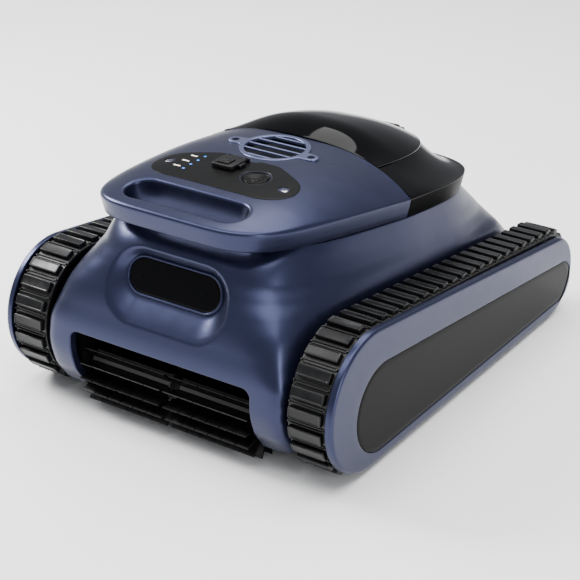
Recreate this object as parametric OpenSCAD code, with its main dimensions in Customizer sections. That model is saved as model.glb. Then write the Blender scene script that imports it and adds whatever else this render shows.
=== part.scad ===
// Cordless tracked pool-cleaning robot: +X to its left-hand viewer's right, brush end faces -Y,
// +Z up, origin on the floor under the middle of the bounding box. Millimetres.

/* [Tracks] */
// Height and radius of the front track wheel over the tread
front_r = 77; // [60:1:95]
// Front track wheel axle, distance forward of centre
front_y = -181; // [-210:1:-150]
// Height and radius of the rear track wheel over the tread
rear_r = 54; // [40:1:70]
// Rear track wheel axle, distance behind centre
rear_y = 204; // [170:1:230]
// Inner edge of the track belt from the centre plane
belt_in = 149; // [140:0.5:155]
// Outer edge of the track belt from the centre plane
belt_out = 190.5; // [180:0.5:195]
// Height of the tread pads over the belt
pad_h = 5.5; // [3:0.5:8]
// Thickness of the belt band
band_t = 3.5; // [2:0.5:6]
// Number of tread pads on one belt
pads = 58; // [40:1:70]

/* [Side covers] */
// Outer face of each side cover from the centre plane
cover_face = 200; // [195:0.5:210]
// Inner edge of each side cover from the centre plane
cover_in = 192.5; // [190:0.5:196]
// Radius of the front end of the side cover
cover_fr = 73; // [60:1:90]
// Radius of the rear end of the side cover
cover_rr = 47; // [35:1:60]

/* [Body] */
// Half width of the hull between the tracks
hull_w = 146.5; // [130:0.5:147]
// Wall thickness of the shells
wall = 3; // [2:0.5:5]
// Half width of the brush opening
mouth_w = 110; // [80:1:120]
// Height of the top edge of the brush opening
mouth_z = 95; // [80:1:110]
// Height of the deck at its middle
deck_z = 250; // [220:1:280]
// Place along the body where the deck meets the rear hood
seam_y = -14; // [-40:1:20]

/* [Handle] */
// Half length of the grip slot
slot_w = 69.5; // [50:0.5:90]
// Half depth of the grip slot
slot_r = 18.5; // [14:0.5:24]
// Middle of the grip slot along the body
slot_y = -205.5; // [-220:0.5:-200]

/* [Brush] */
// Radius of the roller over its fins
brush_r = 42.5; // [30:0.5:46]
// Height of the roller axle
brush_z = 43; // [34:0.5:50]
// Place of the roller axle along the body
brush_y = -214.5; // [-225:0.5:-200]
// Half length of the finned roller
brush_w = 104; // [90:1:108]
// Number of fins round the roller
fins = 16; // [8:1:20]

/* [Filter and lid] */
// Half width of the lid over the filter
lid_w = 96; // [80:1:110]
// Rear end of the lid
lid_y = 150; // [130:1:160]
// Height of the dome over the edge of the lid
lid_h = 27; // [15:1:40]
// Height of the filter basket rim
basket_top = 200; // [150:1:205]

/* [Controls] */
// Radius of the power button
button_r = 12.6; // [8:0.2:16]
// Radius of the round water outlet
outlet_r = 33.5; // [25:0.5:40]
// Middle of the water outlet along the body
outlet_y = -56; // [-70:1:-40]

/* [Hidden] */
$fn = 64;

blue = [0.24, 0.28, 0.42];
black = [0.05, 0.05, 0.055];
gloss = [0.02, 0.02, 0.025];
rubber = [0.08, 0.08, 0.085];
grey = [0.35, 0.36, 0.38];
steel = [0.7, 0.71, 0.73];
gap = 0.3;

// ---- lofts -------------------------------------------------------------
ring_n = 56;
function spow(v, e) = sign(v) * pow(abs(v), e);
function sel(t, n) = [spow(cos(t), 2 / n), spow(sin(t), 2 / n)];
function ring_ts() = [for (i = [0:ring_n - 1]) 360 * (i + 0.5) / ring_n];
function lerp(a, b, t) = a + (b - a) * t;
function clamp01(v) = min(1, max(0, v));
function mean(r, k) = [for (p = r) p[k]] * [for (p = r) 1 / len(r)];

// Closes a stack of equal rings, bottom ring first, into one solid
module loft(rings) {
    n = len(rings[0]);
    m = len(rings);
    lo = [mean(rings[0], 0), mean(rings[0], 1), mean(rings[0], 2)];
    hi = [mean(rings[m - 1], 0), mean(rings[m - 1], 1), mean(rings[m - 1], 2)];
    pts = concat([for (r = rings) each r], [lo, hi]);
    side = [for (k = [0:m - 2]) for (i = [0:n - 1])
        let (a = k * n + i, b = k * n + (i + 1) % n, c = a + n, d = b + n)
        each [[a, d, b], [a, c, d]]];
    floor_f = [for (i = [0:n - 1]) [m * n, i, (i + 1) % n]];
    roof_f = [for (i = [0:n - 1]) [m * n + 1, (m - 1) * n + (i + 1) % n, (m - 1) * n + i]];
    polyhedron(pts, concat(side, floor_f, roof_f), convexity = 10);
}

// Hull slices, bottom to top: front y, rear y, half width at the front, middle and rear,
// squareness of the front and of the rear, height at the front and at the rear
hull_mid = -20;
slices = [
    [-240, 212, 146.5, 146.5, 146.5, 26, 14, 28, 28],
    [-254, 224, 146.5, 146.5, 146.5, 26, 14, 50, 48],
    [-260, 226, 146.5, 146.5, 146.5, 26, 14, 77, 70],
    [-259, 222, 146.5, 146.5, 146.5, 26, 13, 97, 88],
    [-253, 214, 142, 146.5, 146, 16, 11, 124, 98],
    [-248, 209, 139.5, 146.3, 146, 12, 10, 141, 103],
    [-241, 204, 135.3, 145.5, 146, 6.2, 9, 157, 109],
    [-234, 198, 130.2, 143, 131, 4.5, 6, 171, 119],
    [-225, 191, 123.6, 139.5, 128, 4.4, 4.6, 184, 132],
    [-212, 181, 118.7, 136, 130, 4.6, 4.2, 198, 148],
    [-188, 167, 115.4, 132.6, 132.6, 5, 4, 211.2, 165.05]];

function slice_w(s, y) =
    y < seam_y ? lerp(s[2], s[3], clamp01((y - s[0]) / (seam_y - s[0])))
    : let (k = clamp01((y - 60) / (s[1] - 60))) lerp(s[3], s[4], k * k * (3 - 2 * k));
function slice_ring(s, d) = [for (t = ring_ts()) let (
    c = sel(t, sin(t) < 0 ? s[5] : s[6]),
    y = hull_mid + c[1] * (c[1] < 0 ? hull_mid - s[0] - d : s[1] - hull_mid - d),
    k = (y - s[0]) / (s[1] - s[0]),
    w = slice_w(s, y) * hull_w / 146.5 - d)
    [w * c[0], y, lerp(s[7], s[8], k)]];

module hull_solid(d = 0) {
    loft([for (s = slices) slice_ring(s, d)]);
}

// Outline of the cap that the deck and the rear hood share
cap_front = -241;
cap_rear = 168;
function cap_w(y) = y < seam_y ? 137 - 0.115 * (seam_y - y) : 137;
function cap_low(y) = 218 - 0.13 * (y + 238);
function crease(y) = 239 - 0.13 * (y + 238);
function cap_pt(t, r, d) = let (
    c = sel(t, sin(t) < 0 ? 5.3 : 4),
    y = seam_y + r * c[1] * (c[1] < 0 ? seam_y - cap_front - d : cap_rear - seam_y - d),
    y1 = seam_y + c[1] * (c[1] < 0 ? seam_y - cap_front - d : cap_rear - seam_y - d))
    [r * (cap_w(y1) - d) * c[0], y];
function deck_top(y) = deck_z - 2 * clamp01((y + 80) / 66);
function deck_pow(y) = lerp(6.5, 3, clamp01((y + 170) / 150));
function deck_ring(r, d, drop) = [for (t = ring_ts()) let (p = cap_pt(t, r, d), y = p[1])
    [p[0], y, crease(y) + (deck_top(y) - crease(y)) * (1 - pow(r, deck_pow(y))) - drop]];
function flat_ring(d, lift) = [for (t = ring_ts()) let (p = cap_pt(t, 1, d))
    [p[0], p[1], cap_low(p[1]) + lift]];

module deck_cap(d = 0, drop = 0, low = 0) {
    loft(concat([flat_ring(d + 4, low)], [for (r = [1, 0.985, 0.95, 0.9, 0.82, 0.7, 0.55, 0.35, 0.12])
        deck_ring(r, d, drop)]));
}

// Edge of the lid and of the opening under it
lid_mid = 10;
lid_front = -150;
function lid_pt(t, r, d) = let (c = sel(t, 2.45))
    [r * (lid_w - d) * c[0],
     lid_mid + r * c[1] * (c[1] < 0 ? lid_mid - lid_front - d : lid_y - lid_mid - d)];
function lid_edge(y) = 235 - 0.135 * (y - seam_y);
function lid_rise(y) = 13 + (lid_h - 13) * sin(90 * clamp01((y - seam_y) / 50));
function lid_ring(r, d, drop) = [for (t = ring_ts()) let (p = lid_pt(t, r, d))
    [p[0], p[1], lid_edge(p[1]) + lid_rise(p[1]) * (1 - pow(r, 2.45)) - drop]];
function lid_flat(d, drop) = [for (t = ring_ts()) let (p = lid_pt(t, 1, d))
    [p[0], p[1], lid_edge(p[1]) - drop]];
function hood_pow(y) = let (k = clamp01((y - seam_y) / 120)) lerp(0.77, 1.85, k * k * (3 - 2 * k));
function hood_ring(u, d, drop) = [for (t = ring_ts()) let (
    a = cap_pt(t, 1, d), b = lid_pt(t, 1, 0),
    y = lerp(a[1], b[1], u), za = crease(a[1]), zb = lid_edge(b[1]) - 1)
    [lerp(a[0], b[0], u), y, lerp(za, zb, pow(u, hood_pow(y))) - drop]];

module hood_cap(d = 0, drop = 0, low = 0) {
    loft(concat([flat_ring(d + 4, low)],
        [for (u = [0, 0.12, 0.3, 0.5, 0.7, 0.85, 1]) hood_ring(u, d, drop)]));
}

// Opening in the underside of the cap, over the open top of the hull
module cap_opening() {
    top = slice_ring(slices[len(slices) - 1], wall + 1.5);
    loft([[for (p = top) p - [0, 0, 20]], [for (p = top) p + [0, 0, 14]]]);
}

module behind(y) {
    translate([-250, y, -10]) cube([500, 400, 400]);
}

module ahead(y) {
    translate([-250, y - 400, -10]) cube([500, 400, 400]);
}

// ---- front recess with the window ---------------------------------------
win_at = [0, -226, 162.4];
win_tilt = 20;
win_w = 55;
win_h = 17.6;

module win_frame() {
    translate(win_at) rotate([90 - win_tilt, 0, 0]) children();
}

// Rounded bar outline, half length w and half height h
module bar(w, h) {
    hull() {
        for (s = [-1, 1]) translate([s * (w - h), 0]) circle(h);
    }
}

module scoop(d = 0) {
    win_frame() hull() {
        translate([0, 0, -d]) linear_extrude(0.1) offset(3 + d, $fn = 24) bar(win_w, win_h);
        translate([0, -9, 26]) linear_extrude(0.1) offset(15 + d, $fn = 24) bar(win_w + 3, win_h + 2);
    }
}

module brush_mouth() {
    translate([0, -150, 0]) rotate([90, 0, 0]) linear_extrude(130) hull() {
        for (s = [-1, 1]) translate([s * (mouth_w - 8), mouth_z - 8]) circle(8);
        translate([-mouth_w, 0]) square([2 * mouth_w, 1]);
    }
}

// Space inside the hull wall, open above and below, round the pan of the recess
module hull_space() {
    rings = [for (q = slices) slice_ring(q, wall)];
    top = rings[len(rings) - 1];
    difference() {
        loft(concat([[for (p = rings[0]) p - [0, 0, 6]]], rings, [[for (p = top) p + [0, 0, 8]]]));
        scoop(wall);
    }
}

module upper_shell() color(blue) difference() {
    hull_solid(0);
    hull_space();
    scoop(0);
    brush_mouth();
    win_frame() translate([0, 0, -8]) linear_extrude(20) bar(win_w + 0.2, win_h + 0.2);
    for (s = [-1, 1]) {
        translate([s * 141, front_y, front_r]) rotate([0, s * 90, 0]) cylinder(r = 12.2, h = 20);
        translate([s * 118, rear_y, rear_r]) rotate([0, s * 90, 0]) cylinder(r = 9.2, h = 43);
        for (y = [-60, 90]) translate([s * 141, y, 66]) rotate([0, s * 90, 0]) cylinder(r = 5.2, h = 20);
    }
}

// ---- base ------------------------------------------------------------------
tub_w = 141.5;

module tub_2d(d) {
    polygon([[-tub_w + d, -166 + d], [tub_w - d, -166 + d], [tub_w - d, 174], [137 - d, 192 - d / 2],
        [121 - d / 2, 206 - d], [-121 + d / 2, 206 - d], [-137 + d, 192 - d / 2], [-tub_w + d, 174]]);
}

module base_tub() color(black) difference() {
    union() {
        difference() {
            translate([0, 0, 16]) linear_extrude(34) tub_2d(0);
            translate([0, 0, 19.5]) linear_extrude(40) tub_2d(3);
        }
        // wall and roof of the brush bay
        translate([-115, -166, 16]) cube([230, 3, 88]);
        translate([-115, -250, 101]) cube([230, 87, 3]);
        for (s = [-1, 1]) translate([s * 113.5 - 1.5, -239.5, 34]) cube([3, 76.5, 70]);
        // throat up to the filter
        translate([-43, 37, 16]) cube([86, 36, 31.5]);
        // rear axle blocks
        for (s = [-1, 1]) translate([s * 123 - 5, 194, 19]) cube([10, 9.5, 31]);
        for (s = [-1, 1]) translate([s * 123 - 5, 194, 40]) cube([10, 16, 26]);
        for (s = [-1, 1]) for (y = [-60, 90]) {
            translate([s * 136.5 - 5, y - 9, 19]) cube([10, 18, 58]);
        }
    }
    translate([-40, 40, 10]) cube([80, 30, 50]);
    for (s = [-1, 1]) {
        translate([s * 116, rear_y, rear_r]) rotate([0, s * 90, 0]) cylinder(r = 6.05, h = 30);
        for (y = [-60, 90]) translate([s * 125, y, 66]) rotate([0, s * 90, 0]) cylinder(r = 5.05, h = 30);
        translate([s * 110, brush_y, brush_z]) rotate([0, s * 90, 0]) cylinder(r = 9.05, h = 8);
    }
}

module battery_pack() color([0.1, 0.12, 0.2]) {
    translate([-64, -158, 20]) cube([128, 68, 52]);
}

module control_board() color([0.05, 0.25, 0.12]) {
    translate([-60, -165, 226]) cube([120, 66, 1.6]);
    translate([-30, -150, 227.4]) cube([50, 22, 2.2]);
    translate([-52, -118, 227.4]) cube([22, 12, 6]);
    translate([34, -118, 227.4]) cylinder(r = 5, h = 9);
    for (sx = [-1, 1]) for (y = [-160, -104]) translate([sx * 55, y, 227.5]) cylinder(r = 2.5, h = 12.5);
}

// ---- deck with the handle -----------------------------------------------------
module slot_2d(d = 0) {
    hull() {
        for (s = [-1, 1]) translate([s * (slot_w - slot_r), slot_y]) circle(slot_r + d);
    }
}

module panel_2d(d = 0) {
    hull() {
        for (s = [-1, 1]) {
            translate([s * 52, -143]) circle(31 + d);
            translate([s * 22, -124]) circle(25 + d);
        }
    }
}

ear_x = 46.5;
ear_y = -60;

module grille_2d(d = 0) {
    translate([0, outlet_y]) circle(37 + d);
    hull() {
        for (s = [-1, 1]) translate([s * ear_x, ear_y]) circle(8 + d);
    }
}

screw_x = 69.4;
screw_y = -141.5;
port_at = [-9.5, -123];
button_at = [31, -134];
bars_y = [-150, -135.5, -121];
bars_x = -53;

module deck() color(blue) difference() {
    intersection() {
        deck_cap(0, 0, 0);
        ahead(seam_y);
    }
    // space under the deck, over the inside of the hull
    intersection() {
        union() {
            deck_cap(wall, 7, 3);
            cap_opening();
        }
        behind(-188);
    }
    translate([0, 0, 150]) linear_extrude(200) slot_2d();
    // seats of the panel and of the outlet grille
    difference() {
        translate([0, 0, 235]) linear_extrude(40) panel_2d(0.2);
        deck_cap(0, 3.2, 0);
    }
    translate([0, 0, deck_z - 3.2]) linear_extrude(20) grille_2d(0.2);
    translate([0, outlet_y, 200]) cylinder(r = outlet_r, h = 80);
    for (s = [-1, 1]) {
        translate([s * screw_x, screw_y, 200]) cylinder(r = 2.05, h = 80);
        translate([s * ear_x, ear_y, 200]) cylinder(r = 2.05, h = 80);
    }
    translate([button_at[0], button_at[1], 200]) cylinder(r = 15.4, h = 80);
    translate([port_at[0] - 11.2, port_at[1] - 9.2, 200]) cube([22.4, 18.4, 80]);
}

module control_panel() color(black) {
    panel_plate();
    // two posts and the pin that the port flap turns on
    for (s = [-1, 1]) translate([port_at[0] + s * 10.6 - 1, -107.9, 249]) cube([2, 3.4, 5]);
    translate([flap_axis[0], flap_axis[1], flap_axis[2] + 0.9])
        rotate([0, 90, 0]) cylinder(r = 0.8, h = 22, center = true);
}

module panel_plate() difference() {
    intersection() {
        translate([0, 0, 225]) linear_extrude(40) panel_2d(0);
        difference() {
            deck_cap(0, -0.5, 0);
            deck_cap(0, 3, 0);
        }
    }
    translate([button_at[0], button_at[1], 200]) cylinder(r = button_r + 0.4, h = 80);
    translate([button_at[0], button_at[1], 250.6]) scale([1, 1, 0.1]) sphere(16.5);
    translate([port_at[0] - 11.2, port_at[1] - 9.2, 200]) cube([22.4, 18.4, 80]);
    for (s = [-1, 1]) {
        translate([s * screw_x, screw_y, 200]) cylinder(r = 2.05, h = 80);
        translate([s * screw_x, screw_y, 246.7]) cylinder(r = 6.2, h = 80);
    }
    for (y = bars_y) translate([bars_x - 4.6, y - 1.3, 248.7]) cube([9.2, 2.6, 10]);
    for (y = [-153, -141, -129, -117]) translate([-43, y, 248.7]) cylinder(r = 1.6, h = 10);
}

module power_button() color(black) translate([button_at[0], button_at[1], 0]) {
    difference() {
        union() {
            translate([0, 0, 245.4]) cylinder(r = button_r, h = 4.6);
            translate([0, 0, 243]) cylinder(r = button_r + 1.6, h = 1.6);
            translate([0, 0, 244]) cylinder(r = button_r, h = 3);
            translate([0, 0, 232]) cylinder(r = 3, h = 12);
        }
        translate([0, 0, 261.6]) sphere(13.2);
    }
    translate([0, 0, 247.6]) cylinder(r = 2.6, h = 1.9);
}

module status_bars() color([0.95, 0.8, 0.6]) {
    for (y = bars_y) translate([bars_x - 4.5, y - 1.2, 248.75]) cube([9, 2.4, 1.95]);
}

module charge_lights() color([0.1, 0.45, 0.9]) {
    for (y = [-153, -141, -129, -117]) translate([-43, y, 248.75]) cylinder(r = 1.5, h = 1.95);
}

// Rubber flap over the charging port, on a tether strip along its rear edge
flap_axis = [-9.5, -106.2, 251.6];

module port_plug() color(rubber) difference() {
    union() {
        translate([port_at[0] - 13, port_at[1] - 13, 250.9]) cube([26, 27, 4.2]);
        translate([port_at[0] - 8.5, port_at[1] - 8, 254.9]) cube([15, 13, 1.6]);
        translate([port_at[0] + 12, port_at[1] - 2, 250.9]) cube([4, 9, 3]);
        translate([flap_axis[0], flap_axis[1], flap_axis[2] + 0.9])
            rotate([0, 90, 0]) cylinder(r = 1.5, h = 18, center = true);
        translate([port_at[0] - 9, -110, 251.1]) cube([18, 4.5, 2.7]);
        translate([port_at[0] - 8, port_at[1] - 6, 248.2]) cube([16, 11, 4]);
    }
    translate([flap_axis[0], flap_axis[1], flap_axis[2] + 0.9])
        rotate([0, 90, 0]) cylinder(r = 0.85, h = 30, center = true);
}

module charging_port() color(grey) {
    difference() {
        translate([port_at[0] - 11, port_at[1] - 9, 234]) cube([22, 18, 15.6]);
        translate([port_at[0] - 9.4, port_at[1] - 7.4, 237]) cube([18.8, 14.8, 20]);
    }
    for (x = [-5, 0, 5]) translate([port_at[0] + x, port_at[1] - 0.5, 236]) cylinder(r = 1, h = 6);
}

module screw(r, head_r, head_h, len) {
    difference() {
        union() {
            translate([0, 0, -len]) cylinder(r = r, h = len + 0.1);
            cylinder(r = head_r, h = head_h);
        }
        translate([0, 0, head_h - 1.4]) cylinder(r = head_r * 0.45, h = 3, $fn = 6);
    }
}

module panel_screws() color(steel) {
    for (s = [-1, 1]) translate([s * screw_x, screw_y, 246.8]) screw(1.95, 4.4, 2.2, 11);
}

module outlet_grille() color(blue) difference() {
    union() {
        translate([0, 0, deck_z - 3.1]) linear_extrude(3.4) difference() {
            grille_2d(0);
            translate([0, outlet_y]) circle(31.5);
        }
        translate([0, 0, deck_z - 2.8]) linear_extrude(2.4) intersection() {
            translate([0, outlet_y]) circle(32.4);
            for (k = [-2:2]) translate([-40, outlet_y + 14 * k - 1.2]) square([80, 2.4]);
        }
    }
    for (s = [-1, 1]) translate([s * ear_x, ear_y, 200]) {
        cylinder(r = 2.05, h = 80);
        translate([0, 0, deck_z - 202]) cylinder(r = 4, h = 20);
    }
}

module grille_screws() color([0.25, 0.25, 0.27]) {
    for (s = [-1, 1]) translate([s * ear_x, ear_y, deck_z - 1.9]) screw(1.95, 3.4, 1.9, 9);
}

// ---- water path -----------------------------------------------------------------
duct_r = 36.5;

module duct_ring(r0, r1) {
    difference() {
        circle(r1);
        circle(r0);
    }
}

// Ring and three struts that hold the motor
module spider_2d() {
    duct_ring(18.2, 21);
    duct_ring(duct_r - 2.5, duct_r);
    difference() {
        for (a = [0, 120, 240]) rotate(a) translate([0, -1.5]) square([duct_r - 1, 3]);
        circle(20);
    }
}

module outlet_duct() color(grey) translate([0, outlet_y, 0]) {
    translate([0, 0, 120]) linear_extrude(3) duct_ring(duct_r - 2.5, duct_r + 8);
    translate([0, 0, 123]) linear_extrude(17) duct_ring(duct_r - 2.5, duct_r);
    translate([0, 0, 140]) linear_extrude(30) spider_2d();
    translate([0, 0, 170]) linear_extrude(70.6) duct_ring(duct_r - 2.5, duct_r);
}

module pump_motor() color(steel) translate([0, outlet_y, 0]) difference() {
    union() {
        translate([0, 0, 128]) cylinder(r = 18.1, h = 60);
        translate([0, 0, 187]) cylinder(r = 7, h = 5);
    }
    translate([0, 0, 160]) cylinder(r = 3.05, h = 60);
}

module impeller() color(black) translate([0, outlet_y, 0]) {
    translate([0, 0, 162]) cylinder(r = 3, h = 48);
    difference() {
        translate([0, 0, 194]) cylinder(r1 = 9, r2 = 7, h = 26);
        cylinder(r = 2.9, h = 205);
    }
    for (a = [0:72:288]) rotate(a) translate([6, -1.2, 198]) rotate([28, 0, 0])
        cube([25.5, 2.4, 17]);
}

// ---- filter under the lid ----------------------------------------------------------
module basket_2d(d = 0) {
    hull() {
        for (s = [-1, 1]) {
            translate([s * 30, 79]) circle(44 - d);
            translate([s * 66, 10]) circle(8 - d);
        }
    }
}

module filter_basket() color([0.75, 0.77, 0.8]) {
    basket_shell();
    // lugs and pin of the inlet flap
    for (s = [-1, 1]) translate([s * 43 - 1, 36, 50.5]) cube([2, 5, 5.2]);
    translate([-43.5, inlet_axis[1], inlet_axis[2]]) rotate([0, 90, 0]) cylinder(r = 0.8, h = 87);
}

module basket_shell() difference() {
    union() {
        translate([0, 0, 48]) linear_extrude(basket_top - 48) basket_2d(0);
        translate([0, 0, basket_top - 4]) linear_extrude(4) basket_2d(-3);
    }
    translate([0, 0, 51]) linear_extrude(200) basket_2d(2.4);
    // windows for the mesh
    for (z = [62, 128]) {
        for (x = [-57, -17, 23]) translate([x, -5, z]) cube([34, 140, 56]);
        for (y = [16, 52]) translate([-90, y, z]) cube([180, 30, 56]);
    }
    translate([-38, 41, 40]) cube([76, 28, 30]);
}

module filter_mesh() color([0.3, 0.3, 0.32]) difference() {
    translate([0, 0, 51.3]) linear_extrude(basket_top - 54) basket_2d(2.7);
    translate([0, 0, 40]) linear_extrude(200) basket_2d(3.6);
}

// One-way flap over the hole in the basket floor
inlet_axis = [0, 38.5, 53.4];

module inlet_flap() color(rubber) {
    translate([-41, 40, 51.3]) cube([82, 32, 1.6]);
    difference() {
        union() {
            translate([0, inlet_axis[1], inlet_axis[2]]) rotate([0, 90, 0])
                cylinder(r = 1.7, h = 82, center = true);
            translate([-41, 38.5, 51.8]) cube([82, 3, 1.1]);
        }
        translate([0, inlet_axis[1], inlet_axis[2]]) rotate([0, 90, 0])
            cylinder(r = 0.85, h = 100, center = true);
    }
}

module rear_hood() color(gloss) difference() {
    union() {
        difference() {
            hood_cap(0, 0, 0);
            hood_cap(wall, wall, 3);
            cap_opening();
        }
        // hinge lugs
        for (s = [-1, 1]) translate([s * 25 - 2.5, lid_axis[1] - 3.6, 191]) {
            cube([5, 7.2, lid_axis[2] - 191]);
            translate([0, 3.6, lid_axis[2] - 191]) rotate([0, 90, 0]) cylinder(r = 3.6, h = 5);
        }
    }
    ahead(seam_y + 0.2);
    intersection() {
        loft([lid_low(8, 60), lid_low(8, -60)]);
        behind(seam_y + 9);
    }
    translate([-40, lid_axis[1], lid_axis[2]]) rotate([0, 90, 0]) cylinder(r = 1.52, h = 80);
}

function lid_low(d, drop) = lid_flat(d, drop);

lid_axis = [0, lid_y + 5.5, 209];

module lid() color(gloss) difference() {
    union() {
        intersection() {
            difference() {
                loft(concat([lid_flat(0, 0)], [for (r = [1, 0.97, 0.9, 0.8, 0.67, 0.5, 0.3, 0.1])
                    lid_ring(r, 0, -1.2)]));
                intersection() {
                    loft(concat([lid_flat(3, 5)], [for (r = [1, 0.97, 0.9, 0.8, 0.67, 0.5, 0.3, 0.1])
                        lid_ring(r, 3, 1.6)]));
                    behind(seam_y + 3.4);
                }
            }
            behind(seam_y + 0.5);
        }
        // hinge knuckle
        translate([-22, lid_axis[1] - 8.5, 213.5]) cube([44, 6, 1.9]);
        translate([-22, lid_axis[1] - 3.6, lid_axis[2]]) cube([44, 3.6, 6]);
        translate([-22, lid_axis[1], lid_axis[2]]) rotate([0, 90, 0]) cylinder(r = 3.6, h = 44);
    }
    translate([-40, lid_axis[1], lid_axis[2]]) rotate([0, 90, 0]) cylinder(r = 1.55, h = 80);
}

module lid_seal() color(rubber) intersection() {
    difference() {
        loft([lid_flat(2.2, 0.95), lid_flat(2.2, 0.1)]);
        loft([lid_flat(6, 3), lid_flat(6, -3)]);
    }
    behind(seam_y + 9);
}

module lid_hinge_pin() color(steel) {
    translate([-27.5, lid_axis[1], lid_axis[2]]) rotate([0, 90, 0]) cylinder(r = 1.5, h = 55);
}

// ---- window ---------------------------------------------------------------------------
module window_lens() color(gloss) {
    win_frame() translate([0, 0, -3.5]) linear_extrude(4) bar(win_w, win_h);
}

module sensor_board() color([0.05, 0.25, 0.12]) win_frame() {
    translate([-44, -13, -12]) cube([88, 26, 1.6]);
    for (x = [-28, 0, 28]) translate([x, 0, -10.6]) cylinder(r = 6, h = 6.4);
}

// ---- brush roller -------------------------------------------------------------------------
module along_x(x0, x1) {
    translate([x0, 0, 0]) rotate([0, 90, 0]) linear_extrude(x1 - x0) children();
}

module at_brush() {
    translate([0, brush_y, brush_z]) children();
}

core_r = 19;

module brush_core() color(grey) at_brush() {
    for (s = [-1, 1]) mirror([s < 0 ? 1 : 0, 0, 0]) difference() {
        along_x(5.5, brush_w + 1.5) circle(core_r);
        along_x(0, brush_w + 5) circle(4.55);
    }
}

module brush_ring() color(black) at_brush() difference() {
    along_x(-5, 5) circle(core_r + 2.5);
    along_x(-6, 6) circle(4.55);
}

fin_cuts = [for (s = [-1, 1]) for (k = [1:5]) s * (6 + k * (brush_w - 6) / 6)];

module brush_fins() color(rubber) at_brush() difference() {
    for (s = [-1, 1]) mirror([s < 0 ? 1 : 0, 0, 0]) along_x(6, brush_w)
        difference() {
            union() {
                for (i = [0:fins - 1]) rotate(i * 360 / fins + 2)
                    polygon([[core_r, -2.4], [core_r + 4, -1.3], [brush_r - 0.5, -0.9],
                        [brush_r - 0.5, 0.9], [core_r + 4, 1.3], [core_r, 2.4]]);
                circle(core_r + 1.8);
            }
            circle(core_r + 0.1);
        }
    for (x = fin_cuts) translate([x - 0.5, 0, 0]) rotate([0, 90, 0]) difference() {
        cylinder(r = brush_r + 2, h = 1);
        translate([0, 0, -1]) cylinder(r = core_r + 4, h = 3);
    }
}

module brush_axle() color(steel) at_brush() along_x(-118.5, 118.5) circle(4.5);

module brush_bearings() color(grey) at_brush() {
    for (s = [-1, 1]) mirror([s < 0 ? 1 : 0, 0, 0]) difference() {
        union() {
            along_x(109, 115) circle(9);
            along_x(107, 111.8) circle(12);
        }
        along_x(100, 120) circle(4.56);
    }
}

// ---- drive ----------------------------------------------------------------------------------
module side(s) {
    mirror([s < 0 ? 1 : 0, 0, 0]) children();
}

module gearbox(s) color(grey) side(s) difference() {
    union() {
        translate([119, -226, 52]) cube([21, 101, 52]);
        translate([0, front_y, front_r]) along_x(139, 148) circle(12);
    }
    translate([0, front_y, front_r]) along_x(122, 160) circle(6.05);
    translate([0, -138, 78]) along_x(110, 130) circle(3.05);
}

module drive_motor(s) color(steel) side(s) {
    translate([0, -138, 78]) along_x(72, 118.7) circle(17);
    translate([0, -138, 78]) along_x(118, 128) circle(3);
}

module drive_shaft(s) color(steel) side(s) {
    translate([0, front_y, front_r]) along_x(124, 187.5) circle(6);
}

module idler_axle(s) color(steel) side(s) {
    translate([0, rear_y, rear_r]) along_x(119, 188.5) circle(6);
    translate([0, rear_y, rear_r]) along_x(187, 190) circle(9);
}

inset = pad_h + band_t;

module wheel(r, bore) {
    difference() {
        circle(r);
        circle(bore);
        for (a = [0:60:300]) rotate(a) translate([r * 0.55, 0]) circle(r * 0.17);
    }
}

module sprocket(s) color(black) side(s) translate([0, front_y, front_r]) {
    along_x(153, 186) difference() {
        circle(front_r - inset - 0.4);
        circle(front_r - inset - 8);
    }
    along_x(165, 174) difference() {
        circle(front_r - inset - 7);
        circle(6.01);
        for (a = [0:60:300]) rotate(a) translate([34, 0]) circle(12);
    }
    along_x(153, 186) difference() {
        circle(14);
        circle(6.01);
    }
}

module idler(s) color(black) side(s) translate([0, rear_y, rear_r]) {
    along_x(153, 186) difference() {
        circle(rear_r - inset - 0.4);
        circle(rear_r - inset - 7);
    }
    along_x(165, 174) difference() {
        circle(rear_r - inset - 6);
        circle(6.06);
        for (a = [0:60:300]) rotate(a) translate([23, 0]) circle(7);
    }
    along_x(153, 186) difference() {
        circle(11);
        circle(6.06);
    }
}

// Path of the belt: front wheel, straight lower run, rear wheel, upper run
span_c = norm([rear_y - front_y, rear_r - front_r]);
span_dir = atan2(rear_r - front_r, rear_y - front_y);
up_a = span_dir + acos((front_r - rear_r) / span_c);
low_a = span_dir - acos((front_r - rear_r) / span_c);
run = sqrt(span_c * span_c - pow(front_r - rear_r, 2));
front_arc = (360 + low_a - up_a) * PI / 180 * (front_r - pad_h);
rear_arc = (up_a - low_a) * PI / 180 * (rear_r - pad_h);
loop_len = front_arc + rear_arc + 2 * run;

// Position and outward angle on the belt surface at distance s along the loop
function on_loop(s) =
    s < front_arc ? let (a = up_a + s / (front_r - pad_h) * 180 / PI)
        [front_y + (front_r - pad_h) * cos(a), front_r + (front_r - pad_h) * sin(a), a]
    : s < front_arc + run ? let (k = (s - front_arc) / run)
        [front_y + (front_r - pad_h) * cos(low_a) + k * run * cos(low_a + 90),
         front_r + (front_r - pad_h) * sin(low_a) + k * run * sin(low_a + 90), low_a]
    : s < front_arc + run + rear_arc ? let (a = low_a + (s - front_arc - run) / (rear_r - pad_h) * 180 / PI)
        [rear_y + (rear_r - pad_h) * cos(a), rear_r + (rear_r - pad_h) * sin(a), a]
    : let (k = (s - front_arc - run - rear_arc) / run)
        [rear_y + (rear_r - pad_h) * cos(up_a) + k * run * cos(up_a + 90),
         rear_r + (rear_r - pad_h) * sin(up_a) + k * run * sin(up_a + 90), up_a];

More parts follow.
